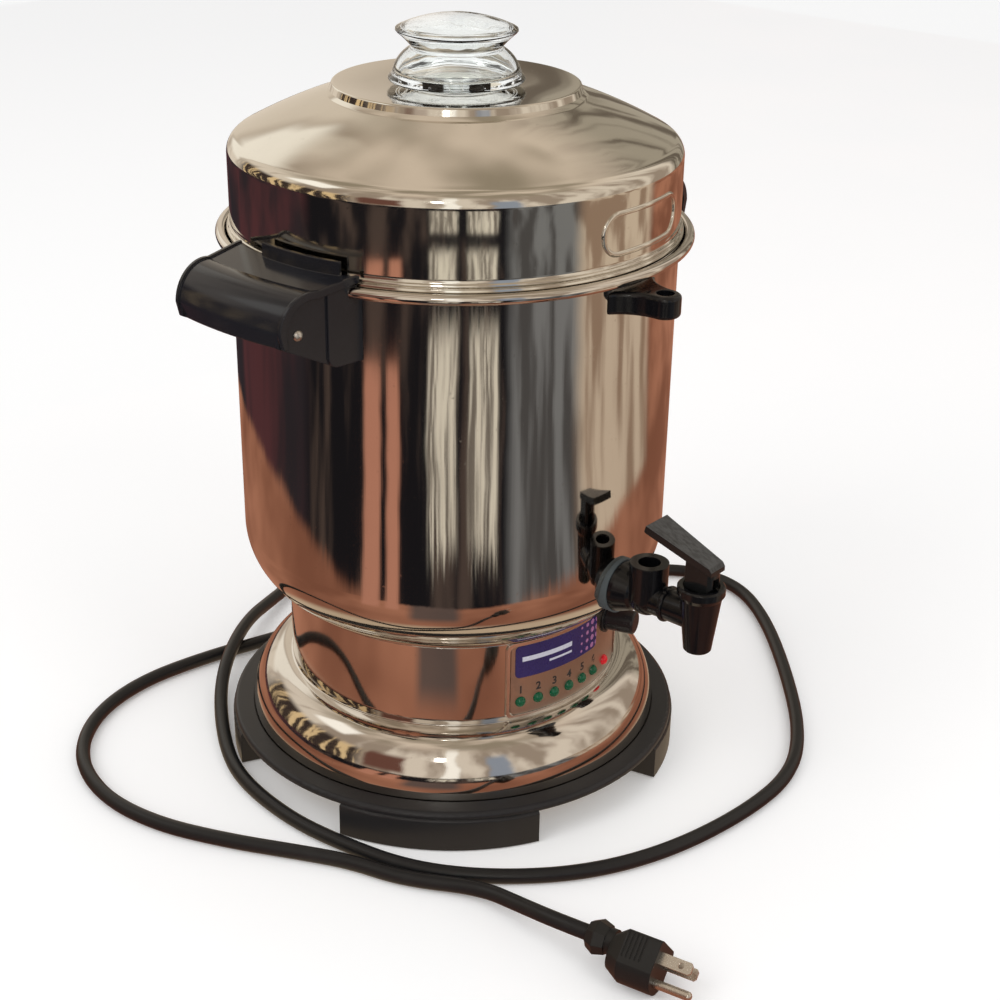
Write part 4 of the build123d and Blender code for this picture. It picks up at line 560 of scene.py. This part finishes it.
def quarter(wide, tall, steps=26):
    """Points of a quarter ellipse from its outer edge up to its top, round (100, spring)."""
    t = np.linspace(0, np.pi / 2, steps)
    return np.stack([100 + wide * np.cos(t), spring + tall * np.sin(t)], 1)


outside, inside = quarter(25, 33), quarter(24.2, 32.2)[::-1]
pedestal_outline = np.vstack([
    [[119, ledge], [124.2, ledge], [124.75, ledge + 0.2], [125, ledge + 0.7], [125, spring - 0.5]],
    outside, [[neck_out + 0.05, crease + 0.35], [neck_out, crease + 1.0], [neck_out, crease + 1.8]],
    [[neck_out, top - 0.3], [neck_out, top], [neck_in, top], [neck_in, top - 0.3]],
    [[neck_in, crease]], inside, [[124.2, ledge + 0.8], [119, ledge + 0.8]],
])
turn("pedestal_shell", pedestal_outline, "urn", "pedestal_steel", "pedestal")

# %% [markdown]
# ## Lid
# The lid is one spun sheet: a plug that drops into the pot, a beaded edge, a straight skirt, a
# rounded shoulder, a gently bulging cone and a raised disc that sinks a little towards its middle.

# %% Lid
lid_z, slope, sheet = 328.49, radians(23.5), 0.8


def cone(inset, steps=14):
    """Points up the cone, bulging by a parabola: 4 t (1 - t) is 0 at the ends and 1 midway."""
    t = np.linspace(0.04, 0.96, steps)
    foot = np.array([119.19 - inset * sin(slope), 380.16 - inset * cos(slope)])
    head = np.array([70.0 - inset * sin(slope), 401.55 - inset * cos(slope)])
    bulge = 1.2 * 4 * t * (1 - t)
    outward = np.array([sin(slope), cos(slope)])
    return foot + np.outer(t, head - foot) + np.outer(bulge, outward)


def shoulder(inset, steps=18):
    """The arc between the skirt and the cone."""
    t = np.radians(np.linspace(0, 66.5, steps))
    radius = 10 - inset
    return np.stack([115.2 + radius * np.cos(t), 370.99 + radius * np.sin(t)], 1)


bead = rounded([
    (125.2, 334.6, 0.5), (125.2, 333.4, 0.3), (126.1, 333.2, 0.5), (126.5, 332.2, 0.6),
    (126.0, 331.3, 0.4), (125.5, 331.1, 0.2), (126.9, 330.9, 0.4), (127.2, 329.7, 0.6),
    (127.0, 328.55, 0.4), (124.6, 328.5, 0.5), (123.8, 327.2, 0.6),
], step=12, support=0.02)[1:-1][::-1]
disc_edge = rounded([(70.9, 401.2), (69.4, 402.0, 1.4), (67.6, 407.4, 1.4), (64.5, 407.3)])[1:-1]
lid_outline = np.vstack([
    [[123.0, 317.5], [123.8, 317.5]], bead, [[125.2, 336.0], [125.2, 370.2]],
    shoulder(0), cone(0), disc_edge,
    [[45, 405.92], [26, 404.6], [23, 404.45], [15.1, 404.45], [15.1, 403.65], [23, 403.65]],
    [[26, 403.8], [45, 405.1], [66.3, 406.5]],
    cone(sheet)[::-1], shoulder(sheet)[::-1],
    [[124.4, 370.2], [124.4, 336.0], [124.4, 329.3], [123.0, 329.2]],
])
turn("lid_shell", lid_outline, "lid", "lid_steel", "lid", around=256)

# %% [markdown]
# ## Bare badge frame
# A raised stadium frame is pressed into the lid's skirt. Its middle line is a stadium drawn in
# arc length round the skirt and height, and a low rounded section is carried along it.

# %% Badge frame
def stadium(width, height, count):
    """Points of a stadium's outline and the outward direction at each."""
    straight, radius = width - height, height / 2
    length = 2 * straight + 2 * np.pi * radius
    s = np.linspace(0, length, count, endpoint=False)
    turn_right = np.clip((s - straight) / radius, 0, np.pi)
    turn_left = np.clip((s - 2 * straight - np.pi * radius) / radius, 0, np.pi)
    angle = -np.pi / 2 + turn_right + turn_left
    x_run = np.clip(s, 0, straight) - np.clip(s - straight - np.pi * radius, 0, straight)
    points = np.stack([x_run - straight / 2 + radius * np.cos(angle), radius * np.sin(angle)], 1)
    return points, np.stack([np.cos(angle), np.sin(angle)], 1)


skirt_r, badge_turn, badge_rise = 125.2, radians(4.0), 22.0
middle, aside = stadium(67.4, 21.4, 160)
section = np.array([
    (-1.6, -0.3), (1.6, -0.3), (1.3, 0.45), (0.7, 0.85), (-0.7, 0.85), (-1.3, 0.45)])
offset, rise_out = section[:, 0], section[:, 1]
flat = middle[:, None] + aside[:, None] * offset[None, :, None]
azimuth = badge_turn + flat[..., 0] / skirt_r
reach = skirt_r + rise_out[None, :]
rise = lid_z + badge_rise + flat[..., 1]
grid = np.stack([reach * np.sin(azimuth), -reach * np.cos(azimuth), rise], -1)
faces = grid_faces(*grid.shape[:2], True, True)
badge = tidy(as_mesh("badge_frame", grid.reshape(-1, 3), faces, "lid", "lid_steel"))
print("badge frame", len(badge.data.polygons), "faces")

# %% [markdown]
# ## Glass knob
# The knob is pressed glass with a wall about three millimetres thick round an air space, so that
# it refracts twice. It is turned like the shells: first the outer outline, then the hollow.

# %% Glass knob
knob_z = 404.45


def dome_points(radius, low, rise, steps=12):
    """A round dome from its rim to the axis: part of a circle through both."""
    ball = (radius**2 + rise**2) / (2 * rise)
    angle = np.linspace(np.arcsin(radius / ball), 0, steps)
    return np.stack([ball * np.sin(angle), low + rise - ball + ball * np.cos(angle)], 1)


def arc_through(a, b, c, steps=12):
    """The arc from a over b to c. The centre is as far from all three, which gives two
    linear equations: 2 (b - a) . m = b.b - a.a and 2 (c - a) . m = c.c - a.a."""
    a, b, c = (np.array(p, float) for p in (a, b, c))
    centre = np.linalg.solve(2 * np.array([b - a, c - a]), [b @ b - a @ a, c @ c - a @ a])
    radius = np.linalg.norm(a - centre)
    sweep = np.unwrap([np.arctan2(*(p - centre)[::-1]) for p in (a, b, c)])
    angle = np.linspace(sweep[0], sweep[2], steps)
    return centre + radius * np.stack([np.cos(angle), np.sin(angle)], 1)


outer = np.vstack([
    [[15.0, 0.05], [23.2, 0.05], [24.0, 0.7]],
    [[27.5, 2.1], [35.4, 3.2], [36.9, 3.8], [37.4, 4.8], [36.9, 5.7], [35.7, 6.5]],
    arc_through((35.0, 8.2), (31.9, 15.0), (25.2, 20.9)),
    arc_through((24.7, 21.6), (28.0, 25.2), (32.4, 29.1), 8),
    [[33.1, 30.0], [33.0, 30.9]], dome_points(32.2, 31.4, 7.0, 14),
])
hollow = np.vstack([
    dome_points(28.4, 29.4, 5.4)[::-1],
    arc_through((28.9, 28.6), (25.0, 25.2), (21.8, 22.0), 8),
    arc_through((21.8, 20.8), (28.7, 15.0), (31.6, 8.8)),
    [[31.2, 7.4], [29.5, 6.2], [22.4, 4.0], [20.8, 2.3], [12.4, 2.2], [12.4, -6], [15.0, -6]],
])
knob_outline = np.vstack([outer, hollow]) + np.array([0, knob_z])
turn("glass_knob", knob_outline, "lid", "knob_glass", "lid_knob", around=160)

# %% [markdown]
# ## Valve spring
# The coil in the tap sits between the bonnet above and the seat cup below, and the cup rises when
# the lever is pulled. A copy of the coil takes its place on the urn, with a mesh of its own.

# %% Valve spring
coil = frame["nodes"]["valve_spring"]
coil_mesh = coil.data.copy()
coil_mesh.transform(coil.matrix_world)
spring = bpy.data.objects.new("valve_spring_coil", coil_mesh)
scene.collection.objects.link(spring)
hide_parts("valve_spring")
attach(spring, "urn")
# The coil gives way 2% more than the stem travels, so that it stays clear of the cup.
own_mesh(spring)

# %% [markdown]
# ## Numerals
# The six lamps are numbered. Blender's text gives the outline of each digit, which is made a mesh
# and then bent round the neck by turning its width into an angle.

# %% Numerals
LAMPS = (-25.4, -18.8, -12.3, -5.8, 0.8, 7.4)
neck, baseline = 100.46, 77.6
points, faces = [], []
for number, lamp in enumerate(LAMPS, 1):
    words = bpy.data.curves.new(f"digit_{number}", "FONT")
    words.body, words.size, words.align_x, words.extrude = str(number), 7.0, "CENTER", 0.05
    words.offset = 0.16
    carrier = bpy.data.objects.new(words.name, words)
    scene.collection.objects.link(carrier)
    shaped = carrier.evaluated_get(bpy.context.evaluated_depsgraph_get())
    flat_mesh = bpy.data.meshes.new_from_object(shaped)
    co = np.empty(len(flat_mesh.vertices) * 3)
    flat_mesh.vertices.foreach_get("co", co)
    co = co.reshape(-1, 3)
    bent = radians(lamp) + co[:, 0] / neck
    reach = neck + co[:, 2]
    so_far = sum(map(len, points))
    faces += [[v + so_far for v in p.vertices] for p in flat_mesh.polygons]
    points.append(np.stack([reach * np.sin(bent), -reach * np.cos(bent), baseline + co[:, 1]], 1))
    bpy.data.objects.remove(carrier)
ink = Finish("numeral_ink", (0.02, 0.02, 0.02))
ink.set("Roughness", 0.4 + 0.2 * ink.noise(800))
ink.set("Base Color", ink.blend(ink.noise(500, 3), (0.012, 0.012, 0.012), (0.04, 0.04, 0.04)))
finishes["numeral_ink"] = ink.material
numeral_mesh = bpy.data.meshes.new("numerals")
numeral_mesh.from_pydata((np.vstack(points) * MM).tolist(), [], faces)
numerals = bpy.data.objects.new("numerals", numeral_mesh)
scene.collection.objects.link(numerals)
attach(numerals, "urn")
dress(numerals, "numeral_ink")
print("numerals", len(numerals.data.polygons), "faces")

# %% [markdown]
# ## Studio
# A pale floor and a pale, even sky light the urn plainly. The sky is a little brighter to the
# camera and to mirrors than it is as a lamp, so the backdrop stays white while the light stays
# soft.

# %% Floor and light
floor_mesh = bpy.data.meshes.new("floor")
far = 9                            # metres from the urn to each side of the floor
floor_mesh.from_pydata(
    [(-far, -far, 0), (far, -far, 0), (far, far, 0), (-far, far, 0)], [], [(0, 1, 2, 3)])
floor = bpy.data.objects.new("floor", floor_mesh)
scene.collection.objects.link(floor)
floor_paint = Finish("floor_paint", (0.93, 0.93, 0.93), Roughness=0.9, Emission_Strength=1.0)
seen = floor_paint.node("ShaderNodeLightPath", output="Is Camera Ray")
for ray in ("Is Glossy Ray", "Is Transmission Ray"):
    seen = seen.math("MAXIMUM", floor_paint.node("ShaderNodeLightPath", output=ray))
floor_paint.set("Emission Color", seen * 0.14)
floor_mesh.materials.append(floor_paint.material)

world = bpy.data.worlds.new("studio")
scene.world = world
world.use_nodes = True
sky = world.node_tree
sky.nodes["Background"].inputs["Color"].default_value = (1, 1, 1, 1)
path = sky.nodes.new("ShaderNodeLightPath")
seen = path.outputs["Is Camera Ray"]
for ray in ("Is Transmission Ray", "Is Glossy Ray"):
    most = sky.nodes.new("ShaderNodeMath")
    most.operation = "MAXIMUM"
    sky.links.new(seen, most.inputs[0])
    sky.links.new(path.outputs[ray], most.inputs[1])
    seen = most.outputs[0]
strength = sky.nodes.new("ShaderNodeMath")
strength.operation = "MULTIPLY_ADD"
sky.links.new(seen, strength.inputs[0])
strength.inputs[1].default_value, strength.inputs[2].default_value = 0.18, 0.82
sky.links.new(strength.outputs[0], sky.nodes["Background"].inputs["Strength"])


def softbox(name, place, size, power, aim=(0, 0, 0.2)):
    """A square lamp that faces a point on the urn."""
    lamp = bpy.data.lights.new(name, "AREA")
    lamp.shape, lamp.size, lamp.size_y, lamp.energy = "RECTANGLE", *size, power
    holder = bpy.data.objects.new(name, lamp)
    toward = (Vector(aim) - Vector(place)).to_track_quat("-Z", "Y")
    holder.matrix_world = Matrix.Translation(place) @ toward.to_matrix().to_4x4()
    scene.collection.objects.link(holder)
    holder.visible_glossy = False


softbox("window_left", (-1.6, 0.2, 1.5), (0.9, 1.2), 9)
softbox("window_front", (-0.3, -1.9, 1.6), (0.8, 1.0), 7)
print("floor, sky and two softboxes")

# %% [markdown]
# ## Cards that the steel mirrors
# Polished metal shows what stands round it, so photographers set cards near it. Here one card
# lies on the table round the foot and the other is a dome over everything. They give the steel
# warm, dark and bright places to mirror, and neither the camera nor the shadows see them.
#
# Each place on a card is named by its angle from the tap's side and by its distance or its
# height. A band in the angle becomes an upright stripe on the wall of the pot.


# %% A card and its coordinates
def mirror_card(name, points, faces, paint, colour):
    """A surface that only mirrors see, with a painted glow; its points are in metres."""
    mesh = bpy.data.meshes.new(name)
    mesh.from_pydata(points, [], faces)
    card = bpy.data.objects.new(name, mesh)
    scene.collection.objects.link(card)
    for sight in ("camera", "diffuse", "transmission", "shadow", "volume_scatter"):
        setattr(card, "visible_" + sight, False)
    paint.tree.nodes.remove(paint.shader)
    glow = paint.node("ShaderNodeEmission", None, {"Color": colour, "Strength": 1.0})
    paint.tree.links.new(glow.socket, paint.tree.nodes["Material Output"].inputs["Surface"])
    mesh.materials.append(paint.material)


def around_and_out(paint):
    """Degrees from the tap's side, metres from the axis, and degrees above the table."""
    x, y, z = paint.axes()
    out = (x * x + y * y) ** 0.5
    turned = x.math("ARCTAN2", 0 - y) * (180 / pi)
    return turned, out, z.math("ARCTAN2", out) * (180 / pi)


def streaks_in(paint, azimuth, along, fine, long=1.2):
    """Noise that is fine round the axis and drawn out the other way, which a wall shows as
    upright streaks."""
    place = paint.node("ShaderNodeCombineXYZ", None, {0: azimuth * fine, 1: along * long})
    given = {"Vector": place, "Scale": 1.0, "Detail": 3.0}
    return paint.node("ShaderNodeTexNoise", {"noise_dimensions": "2D"}, given)


# %% [markdown]
# ### Table card
# The nearest part of the table is a warm copper, and past a curved edge come the colours of a
# room: black, maroon, grey and cream in turn. Two legs and two bright panes stand in it.

# %% Table card
table = Finish("table_card_paint")
azimuth, out, _ = around_and_out(table)
azimuth = azimuth + 2.0 * (table.noise(9, 2, 0.5) - 0.5)
streak = streaks_in(table, azimuth, out, 0.11)
thin = streaks_in(table, azimuth, out, 0.75, 2.0)
drift = table.noise(2.6, 3, 0.6)
black = table.blend(streak.rise(0.45, 0.7), (0.012, 0.011, 0.013), (0.085, 0.060, 0.050))
broad = streaks_in(table, azimuth, out, 0.045, 0.8)
maroon = table.blend(broad.rise(0.35, 0.68), (0.095, 0.036, 0.040), (0.030, 0.024, 0.028))
grey = table.blend(streak.rise(0.40, 0.62), (0.22, 0.22, 0.22), (0.085, 0.080, 0.078))
cream = table.blend(streak.rise(0.42, 0.62), (0.66, 0.53, 0.40), (0.34, 0.23, 0.16))
copper = table.blend(drift.rise(0.35, 0.65), (0.47, 0.205, 0.125), (0.25, 0.100, 0.060))
beyond = table.blend(azimuth.band(-400, -124, 5) + azimuth.rise(118, 132), black, maroon)
beyond = table.blend(azimuth.band(-22, 16, 4), beyond, grey)
beyond = table.blend(azimuth.band(13, 64, 5), beyond, cream)
beyond = table.blend(azimuth.band(62, 124, 5), beyond, copper)
lean = 0.15 * (1 - ((azimuth + 48) * (pi / 180)).math("COSINE"))
edge = out - lean + 0.10 * (drift - 0.5) + 0.03 * (thin - 0.5)
shade = azimuth.band(-68, -46, 3) * out.band(0.22, 0.40, 0.03) * 0.85
copper = table.blend(shade, copper, (0.085, 0.078, 0.075))
copper = table.blend(1 - out.rise(0.165, 0.195), copper, (0.60, 0.46, 0.32))
painted = table.blend(edge.rise(0.335, 0.375), copper, beyond)
legs = azimuth.band(-90, -82, 1.2) + azimuth.band(-79, -73, 1.2)
painted = table.blend(legs * out.band(0.30, 0.90, 0.02), painted, (0.56, 0.25, 0.165))
pane = azimuth.band(-60, -47, 1.0) + azimuth.band(-42, -28, 1.0)
reach = out + 0.30 * (thin - 0.5)
bright = table.blend(thin.rise(0.40, 0.60), (0.20, 0.17, 0.14), (0.82, 0.75, 0.62))
shown = reach.band(0.50, 0.98, 0.04) + out.band(1.12, 1.45, 0.03)
painted = table.blend(pane * shown, painted, bright)
half, lie = 2.4, 0.00005
corners = [(-half, -half, lie), (half, -half, lie), (half, half, lie), (-half, half, lie)]
mirror_card("table_card", corners, [(0, 1, 2, 3)], table, painted)
print("table card", 2 * half, "m wide")

# %% [markdown]
# ### Room card
# The dome is a sky of one sheet: a grid of points on a half sphere. It has warm walls below and a
# softer tone overhead, and a list of patches is laid over them: a dim side with golden specks, a
# maroon place, a few windows and one small highlight, brighter than white.

# %% Room card
room = Finish("room_card_paint")
azimuth, _, lift = around_and_out(room)
azimuth = azimuth + 10 * (room.noise(1.3, 2, 0.5) - 0.5)
soft = room.noise(1.0, 2, 0.5)
wide = streaks_in(room, azimuth, lift, 0.05, 0.012)
slim = streaks_in(room, azimuth, lift, 0.30, 0.02)
overhead = room.blend(soft.rise(0.40, 0.62), (0.80, 0.67, 0.54), (0.36, 0.30, 0.22))
walls = room.blend(wide.rise(0.40, 0.60), (0.84, 0.74, 0.62), (0.40, 0.32, 0.25))
folds = room.blend(slim.rise(0.45, 0.60), (0.42, 0.37, 0.29), (0.16, 0.13, 0.10))
walls = room.blend(azimuth.band(84, 133, 3), walls, folds)
walls = room.blend(azimuth.band(134, 156, 4), walls, (0.76, 0.66, 0.54))
walls = room.blend(azimuth.band(157, 179, 2) * lift.band(14, 46, 4), walls, (1.05, 0.98, 0.86))
painted = room.blend(lift.rise(38, 64), walls, overhead)
specks = room.blend(slim.rise(0.52, 0.60), (0.05, 0.035, 0.030), (0.85, 0.62, 0.34))
patches = [                       # from, to and soft edge: round the axis, then above the table
    ((-176, -100, 5), (-9, 26, 5), specks),
    ((-95, -74, 2), (2, 30, 5), (0.17, 0.075, 0.055)),
    ((-54, -46, 1.5), (-9, 52, 8), (1.25, 1.20, 1.10)),
    ((-30, -17, 2), (-9, 34, 6), (0.33, 0.37, 0.44)),
    ((-146, -120, 3), (38, 54, 3), (1.3, 1.25, 1.15)),
    ((-60, -54, 0.5), (29, 36, 0.5), (9.0, 8.8, 8.4)),
]
for round_axis, above_table, colour in patches:
    painted = room.blend(azimuth.band(*round_axis) * lift.band(*above_table), painted, colour)
dome_r = 2.35                     # metres
across_sky = np.radians(np.linspace(0, 360, 48, endpoint=False))
up_sky = np.radians(np.linspace(0, 90, 16))[:, None]
sky_grid = dome_r * np.stack([
    np.cos(up_sky) * np.cos(across_sky), np.cos(up_sky) * np.sin(across_sky),
    np.sin(up_sky) + 0 * across_sky], -1)
sky_faces = grid_faces(*sky_grid.shape[:2], False, True)
mirror_card("room_card", sky_grid.reshape(-1, 3).tolist(), sky_faces.tolist(), room, painted)
print("two cards for the steel to mirror")
